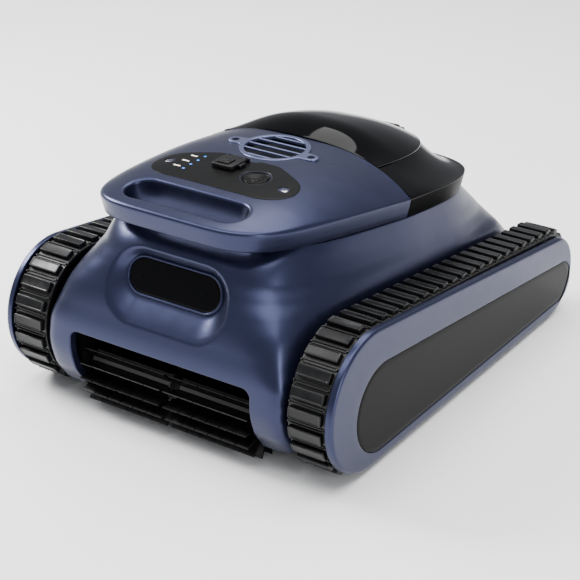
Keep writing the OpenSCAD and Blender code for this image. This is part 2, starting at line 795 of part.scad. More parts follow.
// Point at distance s along the belt surface, raised by h
function belt_pt(s, h) = let (q = on_loop(s % loop_len))
    [q[0] + h * cos(q[2]), q[1] + h * sin(q[2])];
pitch = loop_len / pads;
// One pitch of the tread: distance along the belt and height, two low ribs and then a pad
tread = [[0, 0], [1.6, 0], [1.9, 1.5], [2.9, 1.5], [3.2, 0], [4.6, 0], [4.9, 1.5], [5.9, 1.5],
    [6.2, 0], [7.8, 0], [8.5, pad_h - 0.5], [9.2, pad_h], [pitch - 2.4, pad_h], [pitch - 1.7, pad_h - 0.5],
    [pitch - 1, 0]];

// Turns an outline drawn in the YZ plane into a plate from x0 to x1
module plate_yz(x0, x1) {
    translate([x0, 0, 0]) rotate([90, 0, 90]) linear_extrude(x1 - x0) children();
}

module track_belt(s) color(rubber) side(s) {
    plate_yz(belt_in, belt_out) difference() {
        polygon([for (i = [0:pads - 1]) for (q = tread) belt_pt(i * pitch + q[0], q[1])]);
        polygon([for (i = [0:239]) belt_pt(i * loop_len / 240, -band_t)]);
    }
}

// ---- side covers ---------------------------------------------------------------------------------
module cover_2d(d) {
    hull() {
        translate([front_y - 3, cover_fr + 5]) circle(cover_fr - d);
        translate([rear_y + 3, cover_rr + 4]) circle(cover_rr - d);
    }
}

module inset_2d(d) {
    hull() {
        translate([-165, 64]) circle(47 - d);
        translate([225, 40]) circle(24 - d);
    }
}

module side_cover(s) color(blue) side(s) difference() {
    union() {
        plate_yz(cover_in, cover_face - 3) cover_2d(0);
        plate_yz(cover_face - 3.1, cover_face - 1.5) cover_2d(1.6);
        plate_yz(cover_face - 1.6, cover_face) cover_2d(3.6);
        for (y = [-60, 90]) translate([0, y, 66]) {
            along_x(146.85, 193) circle(10);
            along_x(133, 147) circle(5);
        }
    }
    plate_yz(cover_face - 1.8, cover_face + 2) inset_2d(0);
    translate([0, 0, 0]) plate_yz(cover_in - 1, cover_face - 4.5) difference() {
        cover_2d(4);
        for (y = [-60, 90]) translate([y, 66]) circle(14);
    }
}

module side_panel(s) color(gloss) side(s) {
    plate_yz(cover_face - 1.7, cover_face - 0.1) inset_2d(0.25);
}

upper_shell();
base_tub();
deck();
rear_hood();
lid();
lid_seal();
lid_hinge_pin();
filter_basket();
filter_mesh();
inlet_flap();
control_panel();
power_button();
status_bars();
charge_lights();
port_plug();
charging_port();
panel_screws();
outlet_grille();
grille_screws();
outlet_duct();
pump_motor();
impeller();
window_lens();
sensor_board();
brush_core();
brush_fins();
brush_ring();
brush_axle();
brush_bearings();
gearbox(-1);  // gearbox_left
gearbox(1);  // gearbox_right
drive_motor(-1);  // drive_motor_left
drive_motor(1);  // drive_motor_right
drive_shaft(-1);  // drive_shaft_left
drive_shaft(1);  // drive_shaft_right
sprocket(-1);  // sprocket_left
sprocket(1);  // sprocket_right
idler(-1);  // idler_left
idler(1);  // idler_right
idler_axle(-1);  // idler_axle_left
idler_axle(1);  // idler_axle_right
track_belt(-1);  // track_belt_left
track_belt(1);  // track_belt_right
side_cover(-1);  // side_cover_left
side_cover(1);  // side_cover_right
side_panel(-1);  // side_panel_left
side_panel(1);  // side_panel_right
battery_pack();
control_board();
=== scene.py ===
import math

import bmesh
import bpy
import numpy as np
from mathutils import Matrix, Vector
from mathutils.geometry import delaunay_2d_cdt


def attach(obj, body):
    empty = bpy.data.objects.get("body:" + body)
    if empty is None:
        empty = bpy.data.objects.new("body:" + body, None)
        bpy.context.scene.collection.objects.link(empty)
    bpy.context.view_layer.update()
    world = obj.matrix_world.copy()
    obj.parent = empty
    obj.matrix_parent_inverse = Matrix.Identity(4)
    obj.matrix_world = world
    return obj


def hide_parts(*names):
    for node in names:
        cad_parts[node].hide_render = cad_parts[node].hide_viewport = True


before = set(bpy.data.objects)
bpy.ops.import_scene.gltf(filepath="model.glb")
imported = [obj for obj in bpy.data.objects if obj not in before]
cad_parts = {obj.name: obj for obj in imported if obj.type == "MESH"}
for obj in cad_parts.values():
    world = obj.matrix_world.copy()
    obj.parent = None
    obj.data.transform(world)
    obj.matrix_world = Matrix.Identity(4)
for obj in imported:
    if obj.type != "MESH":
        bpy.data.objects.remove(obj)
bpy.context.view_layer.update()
MM = 0.001

# ---- materials
ROUGH_SCALE = 60.0
FLAKE_SCALE = 2600.0


def srgb(r, g, b):
    def linear(c):
        c = c / 255.0
        return c / 12.92 if c <= 0.04045 else ((c + 0.055) / 1.055) ** 2.4
    return (linear(r), linear(g), linear(b), 1.0)


def material(name, color, rough=0.4, rough_var=0.08, metallic=0.0, coat=0.0, coat_rough=0.05,
             bump=0.0, bump_scale=900.0, tint=0.0, tint_scale=40.0, spec=0.5,
             emit=None, emit_strength=0.0, flake=0.0):
    """Noise varies the roughness and the colour; bump is a height in millimetres."""
    m = bpy.data.materials.new(name)
    m.use_nodes = True
    nt = m.node_tree
    shader = nt.nodes["Principled BSDF"]
    shader.inputs["Base Color"].default_value = color
    shader.inputs["Roughness"].default_value = rough
    shader.inputs["Metallic"].default_value = metallic
    shader.inputs["Coat Weight"].default_value = coat
    shader.inputs["Coat Roughness"].default_value = coat_rough
    shader.inputs["Specular IOR Level"].default_value = spec
    if emit is not None:
        shader.inputs["Emission Color"].default_value = emit
        shader.inputs["Emission Strength"].default_value = emit_strength
    place = nt.nodes.new("ShaderNodeTexCoord").outputs["Object"]

    def noise(scale, detail):
        n = nt.nodes.new("ShaderNodeTexNoise")
        n.inputs["Scale"].default_value = scale
        n.inputs["Detail"].default_value = detail
        n.inputs["Roughness"].default_value = 0.6
        nt.links.new(place, n.inputs["Vector"])
        return n.outputs["Fac"]

    spread = nt.nodes.new("ShaderNodeMapRange")
    spread.inputs["From Min"].default_value = 0.3
    spread.inputs["From Max"].default_value = 0.7
    spread.inputs["To Min"].default_value = max(0.02, rough - rough_var)
    spread.inputs["To Max"].default_value = min(1.0, rough + rough_var)
    nt.links.new(noise(ROUGH_SCALE, 5.0), spread.inputs["Value"])
    nt.links.new(spread.outputs["Result"], shader.inputs["Roughness"])

    mix = nt.nodes.new("ShaderNodeMix")
    mix.data_type = "RGBA"
    mix.inputs[6].default_value = tuple(c * (1 - tint) for c in color[:3]) + (1.0,)
    mix.inputs[7].default_value = tuple(min(1.0, c * (1 + tint)) for c in color[:3]) + (1.0,)
    share = noise(tint_scale, 3.0)
    if flake > 0:
        cells = nt.nodes.new("ShaderNodeTexVoronoi")
        cells.inputs["Scale"].default_value = FLAKE_SCALE
        nt.links.new(place, cells.inputs["Vector"])
        split = nt.nodes.new("ShaderNodeSeparateColor")
        nt.links.new(cells.outputs["Color"], split.inputs["Color"])
        add = nt.nodes.new("ShaderNodeMath")
        add.operation = "MULTIPLY_ADD"
        add.inputs[1].default_value = flake
        nt.links.new(split.outputs["Red"], add.inputs[0])
        nt.links.new(share, add.inputs[2])
        share = add.outputs["Value"]
    nt.links.new(share, mix.inputs[0])
    nt.links.new(mix.outputs[2], shader.inputs["Base Color"])

    if bump > 0:
        relief = nt.nodes.new("ShaderNodeBump")
        relief.inputs["Strength"].default_value = 1.0
        relief.inputs["Distance"].default_value = bump * MM
        nt.links.new(noise(bump_scale, 3.0), relief.inputs["Height"])
        nt.links.new(relief.outputs["Normal"], shader.inputs["Normal"])
    return m


PAINT = dict(rough_var=0.03, metallic=0.8, coat=0.12, coat_rough=0.25, tint=0.1, tint_scale=900.0, flake=0.35,
             bump=0.012, bump_scale=1500.0)
POLISH = dict(tint=0.15, tint_scale=25.0, bump=0.004, bump_scale=60.0)
LIGHT = dict(rough=0.3, rough_var=0.04, tint=0.1, tint_scale=500.0)
BLUE = material("blue_paint", srgb(41, 45, 71), rough=0.33, **PAINT)
PALE = material("blue_paint_pale", srgb(92, 98, 130), rough=0.3, **PAINT)
GLOSS = material("black_gloss", srgb(3, 3, 4), rough=0.045, rough_var=0.015, spec=0.08, **POLISH)
BLACK = material("black_band", srgb(3, 3, 4), rough=0.34, rough_var=0.04, spec=0.02, **POLISH)
LENS = material("lens_gloss", srgb(4, 4, 5), rough=0.08, rough_var=0.02, spec=0.12,
                tint=0.1, tint_scale=60.0, bump=0.003, bump_scale=90.0)
INSET = material("inset_gloss", srgb(10, 10, 9), rough=0.2, rough_var=0.03, spec=0.05,
                 tint=0.15, tint_scale=30.0, bump=0.006, bump_scale=500.0)
SATIN = material("black_satin", srgb(6, 6, 6), rough=0.36, rough_var=0.06, spec=0.1,
                 tint=0.15, tint_scale=700.0, bump=0.02, bump_scale=1800.0)
DARK = material("dark_plastic", srgb(13, 13, 14), rough=0.5, spec=0.25,
                tint=0.2, tint_scale=120.0, bump=0.03, bump_scale=1200.0)
TREAD = material("track_rubber", srgb(9, 9, 10), rough=0.32, spec=0.3,
                 tint=0.25, tint_scale=90.0, bump=0.04, bump_scale=700.0)
BAND = material("belt_rubber", srgb(7, 7, 7), rough=0.5, rough_var=0.1,
                tint=0.25, tint_scale=90.0, bump=0.05, bump_scale=800.0)
RUBBER = material("soft_rubber", srgb(6, 6, 7), rough=0.4, spec=0.2, tint=0.2, tint_scale=150.0, bump=0.03)
FIN = material("fin_rubber", srgb(4, 4, 4), rough=0.4, rough_var=0.1, spec=0.25,
               tint=0.25, tint_scale=150.0, bump=0.03)
# grey core plastic, coloured lighter than its own dark grey: the colour carries a painted highlight for the
# tube between the fins
CORE_PAINTED_HIGHLIGHT = material("core_plastic_painted_highlight", srgb(104, 103, 100), rough=0.35, rough_var=0.07,
                tint=0.2, tint_scale=60.0, bump=0.02, bump_scale=700.0)
STEEL = material("steel", srgb(190, 190, 194), rough=0.25, metallic=1.0,
                 tint=0.05, tint_scale=300.0, bump=0.01)
GREY = material("grey_plastic", srgb(70, 72, 76), rough=0.5, rough_var=0.06,
                tint=0.1, tint_scale=200.0, bump=0.02, bump_scale=1000.0)
BASKET = material("basket_plastic", srgb(190, 194, 200), rough=0.45, rough_var=0.06,
                  tint=0.06, tint_scale=100.0, bump=0.02)
MESH = material("mesh_cloth", srgb(70, 72, 80), rough=0.8, rough_var=0.05,
                tint=0.25, tint_scale=900.0, bump=0.15, bump_scale=1400.0)
BOARD = material("board", srgb(16, 70, 40), rough=0.4,
                 tint=0.25, tint_scale=250.0, bump=0.03, bump_scale=500.0)
CELLS = material("battery_wrap", srgb(32, 38, 66), rough=0.3, tint=0.15, tint_scale=60.0,
                 bump=0.05, bump_scale=120.0)
WARM = material("light_warm", srgb(232, 226, 218), emit=srgb(255, 226, 196), emit_strength=0.4, **LIGHT)
COOL = material("light_blue", srgb(40, 120, 210), emit=srgb(40, 140, 255), emit_strength=0.5, **LIGHT)

# ---- mesh helpers
WELD = 1e-6
BEVEL_ANGLE = math.radians(50)


def clean(ob, weld, bevel, sharp):
    """Welds, bevels hard edges and fixes the normals of a finished piece."""
    bm = bmesh.new()
    bm.from_mesh(ob.data)
    bmesh.ops.remove_doubles(bm, verts=bm.verts, dist=weld)
    bmesh.ops.recalc_face_normals(bm, faces=bm.faces)
    if bevel > 0:
        hard = [e for e in bm.edges if len(e.link_faces) == 2 and e.calc_face_angle(0) > BEVEL_ANGLE]
        bmesh.ops.bevel(bm, geom=hard, offset=bevel * MM, segments=2, affect="EDGES", profile=0.5,
                        clamp_overlap=True)
    for f in bm.faces:
        f.smooth = True
    bm.to_mesh(ob.data)
    bm.free()
    if sharp is not None:
        ob.data.set_sharp_from_angle(angle=math.radians(sharp))


class Build:
    """Collects grids, bars and loose faces into one piece, in millimetres."""

    def __init__(self):
        self.v = []
        self.f = []

    def add(self, pts):
        i = len(self.v)
        self.v.extend([tuple(map(float, p)) for p in pts])
        return i

    def grid(self, rows, closed=True, flip=False, cap0=False, cap1=False):
        """Rows of equal length joined by quads."""
        n = len(rows[0])
        base = [self.add(r) for r in rows]
        for a, b in zip(base[:-1], base[1:]):
            for i in range(n if closed else n - 1):
                j = (i + 1) % n
                q = (a + i, a + j, b + j, b + i)
                self.f.append(q[::-1] if flip else q)
        if cap0:
            self.f.append(tuple(range(base[0], base[0] + n))[:: 1 if flip else -1])
        if cap1:
            self.f.append(tuple(range(base[-1], base[-1] + n))[:: -1 if flip else 1])
        return base

    def bar(self, prof, x0, x1, flip=False):
        """A (y, z) profile carried along x, closed at both ends."""
        self.grid([upright(x, np.array(prof)) for x in (x0, x1)], cap0=True, cap1=True, flip=flip)

    def box(self, lo, hi):
        pts = [(x, y, z) for z in (lo[2], hi[2]) for y in (lo[1], hi[1]) for x in (lo[0], hi[0])]
        b = self.add(pts)
        for q in ((0, 2, 3, 1), (4, 5, 7, 6), (0, 1, 5, 4), (2, 6, 7, 3), (0, 4, 6, 2), (1, 3, 7, 5)):
            self.f.append(tuple(b + k for k in q))

    def piece(self, name, mat, body="hull", replaces=(), weld=WELD, bevel=0.0, sharp=None):
        me = bpy.data.meshes.new(name)
        me.from_pydata([tuple(v) for v in np.asarray(self.v, float) * MM], [], self.f)
        me.validate()
        me.materials.append(mat)
        ob = bpy.data.objects.new(name, me)
        bpy.context.collection.objects.link(ob)
        me.shade_smooth()
        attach(ob, body)
        if replaces:
            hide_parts(*replaces)
        if weld is not None:
            clean(ob, weld, bevel, sharp)


def level(p, z):
    """Plan points at height z, a number or one value for each point."""
    return np.c_[p, np.full(len(p), z)]


def upright(x, p):
    """(y, z) points at x."""
    return np.c_[np.full(len(p), x), p]


def spow(v, e):
    return np.sign(v) * np.abs(v) ** e


def clamp01(v):
    return np.clip(v, 0.0, 1.0)


def smooth01(v):
    v = clamp01(v)
    return v * v * (3 - 2 * v)


def pchip(xs, ys, x):
    """Monotone cubic through the points."""
    xs, ys = np.asarray(xs, float), np.asarray(ys, float)
    h = np.diff(xs)
    d = np.diff(ys) / h
    m = np.zeros(len(xs))
    for i in range(1, len(xs) - 1):
        if d[i - 1] * d[i] > 0:
            w1, w2 = 2 * h[i] + h[i - 1], h[i] + 2 * h[i - 1]
            m[i] = (w1 + w2) / (w1 / d[i - 1] + w2 / d[i])
    m[0], m[-1] = d[0], d[-1]
    i = np.clip(np.searchsorted(xs, x) - 1, 0, len(h) - 1)
    t = (x - xs[i]) / h[i]
    return ((2 * t ** 3 - 3 * t ** 2 + 1) * ys[i] + (t ** 3 - 2 * t ** 2 + t) * h[i] * m[i]
            + (-2 * t ** 3 + 3 * t ** 2) * ys[i + 1] + (t ** 3 - t ** 2) * h[i] * m[i + 1])


def circle2(c, r, n=48, a0=0.0, a1=360.0, end=False):
    t = np.radians(np.linspace(a0, a1, n, endpoint=end))
    return np.stack([c[0] + r * np.cos(t), c[1] + r * np.sin(t)], 1)


def turned(c, z, steps, n):
    """Rows of a turned part about the vertical axis at c, from (radius, height over z) steps."""
    return [level(circle2(c, r, n), z + dz) for r, dz in steps]


def hull2(circles, step):
    """Outline of the convex hull of circles, as evenly spaced points."""
    t = np.radians(np.arange(0, 360, 0.5))
    reach = np.array([[c[0] * np.cos(a) + c[1] * np.sin(a) + c[2] for c in circles] for a in t])
    pts = [(circles[j][0] + circles[j][2] * np.cos(a), circles[j][1] + circles[j][2] * np.sin(a))
           for j, a in zip(reach.argmax(1), t)]
    return resample(np.array(pts), step)


def stadium(half, rad, y, step):
    """Slot outline of half width half and end radius rad, centred at (0, y)."""
    return hull2([(-(half - rad), y, rad), (half - rad, y, rad)], step)


def round_rect(x0, x1, y0, y1, r, n):
    """Rectangle with n points round each corner."""
    corners = ((x1 - r, y1 - r), (x0 + r, y1 - r), (x0 + r, y0 + r), (x1 - r, y0 + r))
    return np.vstack([circle2(c, r, n, 90 * k, 90 * k + 90, True) for k, c in enumerate(corners)])


def along(p):
    """Length along a line of points, from its first one."""
    return np.r_[0, np.cumsum(np.linalg.norm(np.diff(p, axis=0), axis=1))]


def resample(pts, step, closed=True):
    p = np.vstack([pts, pts[:1]]) if closed else np.asarray(pts, float)
    d = along(p)
    keep = np.r_[True, np.diff(d) > 1e-9]
    p, d = p[keep], d[keep]
    n = max(8, int(round(d[-1] / step)))
    s = np.linspace(0, d[-1], n, endpoint=not closed)
    return np.stack([np.interp(s, d, p[:, k]) for k in range(p.shape[1])], 1)


def normals2(p, closed=True):
    """Outward normals of an anticlockwise outline."""
    t = np.roll(p, -1, 0) - np.roll(p, 1, 0) if closed else np.gradient(p, axis=0)
    t /= np.linalg.norm(t, axis=1)[:, None]
    return np.stack([t[:, 1], -t[:, 0]], 1)


def inside(poly, pts):
    """Even-odd test of many points against one outline."""
    x, y = pts[:, 0], pts[:, 1]
    res = np.zeros(len(pts), bool)
    for (x0, y0), (x1, y1) in zip(poly, np.roll(poly, -1, 0)):
        if y0 != y1:
            res ^= ((y0 > y) != (y1 > y)) & (x < (x1 - x0) * (y - y0) / (y1 - y0) + x0)
    return res


def near(poly, pts, d):
    """Points closer than d to any of the outline's points."""
    res = np.zeros(len(pts), bool)
    for q in poly:
        res |= np.hypot(pts[:, 0] - q[0], pts[:, 1] - q[1]) < d
    return res


def in_sheet(loops, pts):
    """Points inside the first loop and outside the others."""
    ok = inside(loops[0], pts)
    for hole in loops[1:]:
        ok &= ~inside(hole, pts)
    return ok


def sheet(build, outer, holes, extra, zf, flip=False):
    """Triangulates a plan outline with holes and lifts it to the surface zf."""
    loops = [np.asarray(outer, float)] + [np.asarray(h, float) for h in holes]
    keep = in_sheet(loops, extra)
    edges = []
    first = 0
    for lp in loops:
        keep &= ~near(lp, extra, 1.1)
        n = len(lp)
        edges += [(first + i, first + (i + 1) % n) for i in range(n)]
        first += n
    pts = np.vstack(loops + [extra[keep]])
    found = delaunay_2d_cdt([Vector(p) for p in pts], edges, [], 0, WELD)
    plan = np.array([(v.x, v.y) for v in found[0]])
    tris = found[2]
    ok = in_sheet(loops, np.array([plan[list(f)].mean(0) for f in tris]))
    base = build.add(np.c_[plan, zf(plan[:, 0], plan[:, 1])])
    for f, k in zip(tris, ok):
        if k:
            q = tuple(base + i for i in f)
            p0, p1, p2 = (plan[i] for i in f)
            left_turn = (p1[0] - p0[0]) * (p2[1] - p0[1]) - (p1[1] - p0[1]) * (p2[0] - p0[0]) > 0
            build.f.append(q if left_turn != flip else q[::-1])


def hexgrid(x0, x1, y0, y1, s):
    rows = []
    y = y0
    while y <= y1:
        xs = np.arange(x0 + (s / 2 if len(rows) % 2 else 0), x1, s)
        rows.append(level(xs, y))
        y += s * 0.866
    return np.vstack(rows)


def bez(p0, p1, p2, n):
    """Quadratic curve between columns of points, as n rows."""
    return [(1 - t) ** 2 * p0 + 2 * t * (1 - t) * p1 + t * t * p2 for t in np.linspace(0, 1, n)]


# ---- shared shape
SEAM = -14.0
CAP_F, CAP_R = -241.0, 168.0
CAP_NF, CAP_NR = 5.3, 4.0
SKIRT_IN = 4.6
# Both ends of the track, out to the tops of its pads: y, z, radius.
FRONT = (-181.0, 77.0, 77.0)
REAR = (204.0, 54.0, 54.0)
# Places on the deck, and the y, z of the two hinge axes.
GRILLE = (0.0, -56.0)
EARS = [(s * 46.5, -60.0) for s in (-1, 1)]
BUTTON = (31.0, -134.0)
PORT = (-9.5, -123.0)
SCREWS = [(s * 69.4, -141.5) for s in (-1, 1)]
PANEL_T = 0.5
LID_PIN = np.array([155.5, 209.0])
FLAP_PIN = np.array([-106.2, 252.5])


def cap_w(y):
    return np.where(y < SEAM, 137 - 0.115 * (SEAM - y), 137.0)


def cap_low(y):
    return 218 - 0.13 * (y + 238)


def crease(y):
    return 239 - 0.13 * (y + 238)


def cap_pt(t, r):
    """Plan point of the cap at angle t, r of the way from the middle to the edge."""
    n = np.where(np.sin(t) < 0, CAP_NF, CAP_NR)
    c0, c1 = spow(np.cos(t), 2 / n), spow(np.sin(t), 2 / n)
    y_edge = SEAM + c1 * np.where(c1 < 0, SEAM - CAP_F, CAP_R - SEAM)
    return np.c_[r * cap_w(y_edge) * c0, SEAM + r * (y_edge - SEAM)]


def cap_r(x, y):
    """How far out a plan point lies in the cap outline, 0 at the middle and 1 at the edge."""
    v = (y - SEAM) / np.where(y < SEAM, SEAM - CAP_F, CAP_R - SEAM)
    n = np.where(y < SEAM, CAP_NF, CAP_NR)
    w = 125.0
    for _ in range(13):
        r = ((np.abs(x) / w) ** n + np.abs(v) ** n) ** (1 / n)
        w = cap_w(SEAM + (y - SEAM) / np.maximum(r, 1e-4))
    return r


def deck_z(x, y):
    top = 250 - 2 * clamp01((y + 80) / 66)
    power = 6.5 - 3.5 * clamp01((y + 170) / 150)
    return crease(y) + (top - crease(y)) * (1 - np.minimum(cap_r(x, y), 1) ** power)


def on_deck(p):
    return deck_z(p[:, 0], p[:, 1])


LID_MID, LID_F, LID_R, LID_W, LID_N = 10.0, -150.0, 150.0, 96.0, 2.45


def lid_pt(t, r):
    c0, c1 = spow(np.cos(t), 2 / LID_N), spow(np.sin(t), 2 / LID_N)
    span = np.where(c1 < 0, LID_MID - LID_F, LID_R - LID_MID)
    return np.c_[r * LID_W * c0, LID_MID + r * c1 * span]


def lid_rear(y0, n):
    """The lid's outline rearward of y0, from right to left."""
    a0 = math.asin(-(abs(y0 - LID_MID) / (LID_MID - LID_F)) ** (LID_N / 2))
    return lid_pt(np.linspace(a0, math.pi - a0, n), 1.0)


def lid_edge(y):
    return 235 - 0.135 * (y - SEAM)


def lid_z(x, y):
    span = np.where(y < LID_MID, LID_MID - LID_F, LID_R - LID_MID)
    r = (np.abs(x / LID_W) ** LID_N + np.abs((y - LID_MID) / span) ** LID_N) ** (1 / LID_N)
    rise = 13 + 14 * np.sin(np.pi / 2 * clamp01((y - SEAM) / 50))
    return lid_edge(y) + 1.2 + rise * (1 - np.minimum(r, 1) ** LID_N)


# ---- hull
# Height levels at the hull's front and rear end, and what the hull has at each level: the y of both ends,
# the half width in front, in the middle and at the rear, and the power of its front and rear corners.
MID = -20.0
HULL_W = 146.5
Z_LOW, Z_TOP = 28.0, 211.2
ZF = [28, 50, 77, 97, 124, 141, 157, 171, 184, 198, 211.2]
ZR = [28, 48, 70, 88, 98, 103, 109, 119, 132, 148, 165.05]
YF = [-240, -254, -260, -259, -253, -248, -241, -235, -229, -219, -195]
YR = [212, 224, 226, 222, 215, 212, 209, 206, 200, 187, 167]
WF = [HULL_W] * 4 + [142, 139.5, 135.3, 129.8, 122.6, 117.2, 114.6]
WM = [HULL_W] * 5 + [146.3, 145.5, 143, 139.5, 136, 132.6]
WR = [HULL_W] * 4 + [146, 145.5, 143, 135, 131, 131, 132.6]
SNF = [26, 26, 26, 22, 13.5, 9.6, 6.9, 5.2, 4.6, 4.6, 5.0]
SNR = [14, 14, 14, 13, 11, 10, 9, 7.2, 5.4, 4.4, 4.0]

# The brush mouth's half width, top, corner radius and rounded lip; it lies in front of MOUTH_Y.
MOUTH_W, MOUTH_Z, MOUTH_R, LIP, MOUTH_Y = 110.0, 95.0, 9.0, 1.6, -150

# Shares of half a quarter turn at which the hull has its columns, closer towards the corner. One column
# runs up the side of the mouth.
GU = np.r_[np.linspace(0, 0.66, 46)[:-1], np.linspace(0.66, 0.84, 16)[:-1],
           np.linspace(0.84, 0.95, 16)[:-1], np.linspace(0.95, 1.0, 20)]
MOUTH_U = (MOUTH_W + LIP) / HULL_W / 2 ** (-1 / SNF[0])
GU[np.argmin(np.abs(GU - MOUTH_U))] = MOUTH_U


def quarter(n):
    """A quarter of the curve x^n + y^n = 1, from the y axis to the x axis."""
    half = 2 ** (-1 / n) * GU
    other = (1 - half ** n) ** (1 / n)
    return np.r_[half, other[::-1][1:]], np.r_[other, half[::-1][1:]]


def hull_ring(zf, inset=0.0):
    """The hull's outline whose front end is at height zf."""
    zr, yf, yr, wf, wm, wr, nf, nr = (float(pchip(ZF, a, zf)) for a in (ZR, YF, YR, WF, WM, WR, SNF, SNR))
    fx, fy = quarter(nf)
    qx, qy = quarter(nr)
    ring_x = np.r_[fx, qx[::-1][1:], -qx[1:], -fx[::-1][1:-1]]
    ring_y = np.r_[-fy, qy[::-1][1:], qy[1:], -fy[::-1][1:-1]]
    y = MID + ring_y * np.where(ring_y < 0, MID - yf - inset, yr - MID - inset)
    # the width grows from the front to the seam and eases into the middle width round it
    ease = 0.12
    share = (y - yf) / (SEAM - yf)
    share = np.where(share > 1 - ease, share - (share - 1 + ease) ** 2 / (4 * ease), share)
    w = np.where(y < SEAM + ease * (SEAM - yf), wf + (wm - wf) * np.minimum(share, 1),
                 wm + (wr - wm) * smooth01((y - 60) / (yr - 60)))
    return np.stack([(w - inset) * ring_x, y, zf + (zr - zf) * (y - yf) / (yr - yf)], 1)


WIN = np.array([0, -226.0, 162.4])
WIN_W, WIN_H = 55.0, 17.6
TILT = math.radians(20)
WV = np.array([0, math.sin(TILT), math.cos(TILT)])
WN = np.array([0, -math.cos(TILT), math.sin(TILT)])


def window_rows(outline, steps):
    """Rows parallel to the window's outline, from (outward, above the window's plane) steps."""
    nn = normals2(outline)
    rows = []
    for out, up in steps:
        q = outline + nn * out
        rows.append(WIN + q[:, :1] * [1, 0, 0] + q[:, 1:2] * WV + up * WN)
    return rows


def rr_sd(x, v, hw, hh, rad):
    """Signed distance to a rounded rectangle."""
    qx, qy = np.abs(x) - (hw - rad), np.abs(v) - (hh - rad)
    return np.hypot(np.maximum(qx, 0), np.maximum(qy, 0)) + np.minimum(np.maximum(qx, qy), 0) - rad


def recess(P):
    """Presses the window pocket into the fascia, with a soft foot and a soft top to its wall."""
    d = P - WIN
    px, pv, pw = d[:, 0], d @ WV, d @ WN
    near_win = (P[:, 1] < -150) & (np.abs(px) < 95) & (np.abs(pv + 8) < 62) & (pw > -20)
    # how far up the wall a point lies, by bisection: 0 at the pocket floor's outline, 1 at its top's
    lo = np.full(len(P), -0.6)
    hi = np.full(len(P), 1.6)
    for _ in range(26):
        m = (lo + hi) / 2
        hw, hh, vc = 58.5 + 13.5 * m, 20.5 + 18.0 * m, -10.0 * m
        out = rr_sd(px, pv - vc, hw, hh, np.minimum(hh * 0.97, 34)) > 0
        lo = np.where(out, m, lo)
        hi = np.where(out, hi, m)
    lam = (lo + hi) / 2
    top0, top1 = 0.965, 1.05
    eased = lam - (lam - top0) ** 2 / (2 * (top1 - top0))
    s = np.clip(np.where(lam < top0, lam, np.where(lam < top1, eased, 1.0)), 0, 1)
    foot = 0.16
    s = np.where(lam < foot, np.where(lam < -foot, 0, (lam + foot) ** 2 / (4 * foot)), s)
    s = np.where(near_win, s, 1.0)
    return P - ((1 - s) * np.maximum(pw, 0) * near_win)[:, None] * WN


MOUTH_C = np.array([MOUTH_W - MOUTH_R, MOUTH_Z - MOUTH_R])


def in_mouth(x, y, z):
    if y > MOUTH_Y or abs(x) > MOUTH_W + LIP or z > MOUTH_Z + LIP:
        return False
    if abs(x) > MOUTH_C[0] and z > MOUTH_C[1]:
        return math.hypot(abs(x) - MOUTH_C[0], z - MOUTH_C[1]) < MOUTH_R + LIP
    return True


def mouth_edge(v, faces):
    """The next point along the mouth's open edge, for each point on it."""
    edges = dict.fromkeys((q[k], q[(k + 1) % 4]) for q in faces for k in range(4))
    top, wide = MOUTH_Z + LIP + 0.6, MOUTH_W + LIP + 1.5
    after = {}
    for a, c in edges:
        if (c, a) in edges:
            continue
        p, q = v[a], v[c]
        by_mouth = all(e[1] < MOUTH_Y and e[2] < top and abs(e[0]) < wide for e in (p, q))
        bottom = min(p[2], q[2]) < Z_LOW + 0.01 and abs(p[2] - q[2]) < 0.01
        if by_mouth and not bottom:
            after[a] = c
    return after


def round_mouth(b, after):
    """Moves the staircase at the mouth's upper corners onto their arc."""
    for a in set(after) | set(after.values()):
        x, y, z = b.v[a]
        dx, dz = abs(x) - MOUTH_C[0], z - MOUTH_C[1]
        if dx > 0 and dz > 0:
            s = (MOUTH_R + LIP) / max(math.hypot(dx, dz), 1e-6)
            b.v[a] = (math.copysign(MOUTH_C[0] + dx * s, x), y, MOUTH_C[1] + dz * s)


def mouth_lip(b, after):
    """Rolls the mouth's edge inward and back into the hull."""
    joined = set(after.values())
    for start in [a for a in after if a not in joined]:
        prev = [start]
        while prev[-1] in after:
            prev.append(after[prev[-1]])
        p = np.array([b.v[k] for k in prev])
        xz = p[:, [0, 2]]
        nrm = normals2(xz, closed=False)
        if (([0, 60.0] - xz) * nrm).sum() < 0:
            nrm = -nrm
        for turn, back in ((22, 0), (45, 0), (68, 0), (90, 0), (90, 7.0)):
            a = math.radians(turn)
            q = p.copy()
            q[:, [0, 2]] += nrm * LIP * math.sin(a)
            q[:, 1] += LIP * (1 - math.cos(a)) + back
            first = b.add(q)
            cur = list(range(first, first + len(q)))
            for k in range(len(q) - 1):
                b.f.append((prev[k + 1], prev[k], cur[k], cur[k + 1]))
            prev = cur


def turn_in(b, zf, row, prev, steps, keep, flip):
    """Turns one end of the hull's skin inward, by (inset, lift) steps, where keep is true."""
    n = len(row)
    for inset, lift in steps:
        ring = hull_ring(zf, inset)
        ring[:, 2] = row[:, 2] + lift
        cur = b.add(ring)
        for i in range(n):
            j = (i + 1) % n
            if keep[i] and keep[j]:
                q = (cur + i, cur + j, prev + j, prev + i)
                b.f.append(q[::-1] if flip else q)
        prev = cur


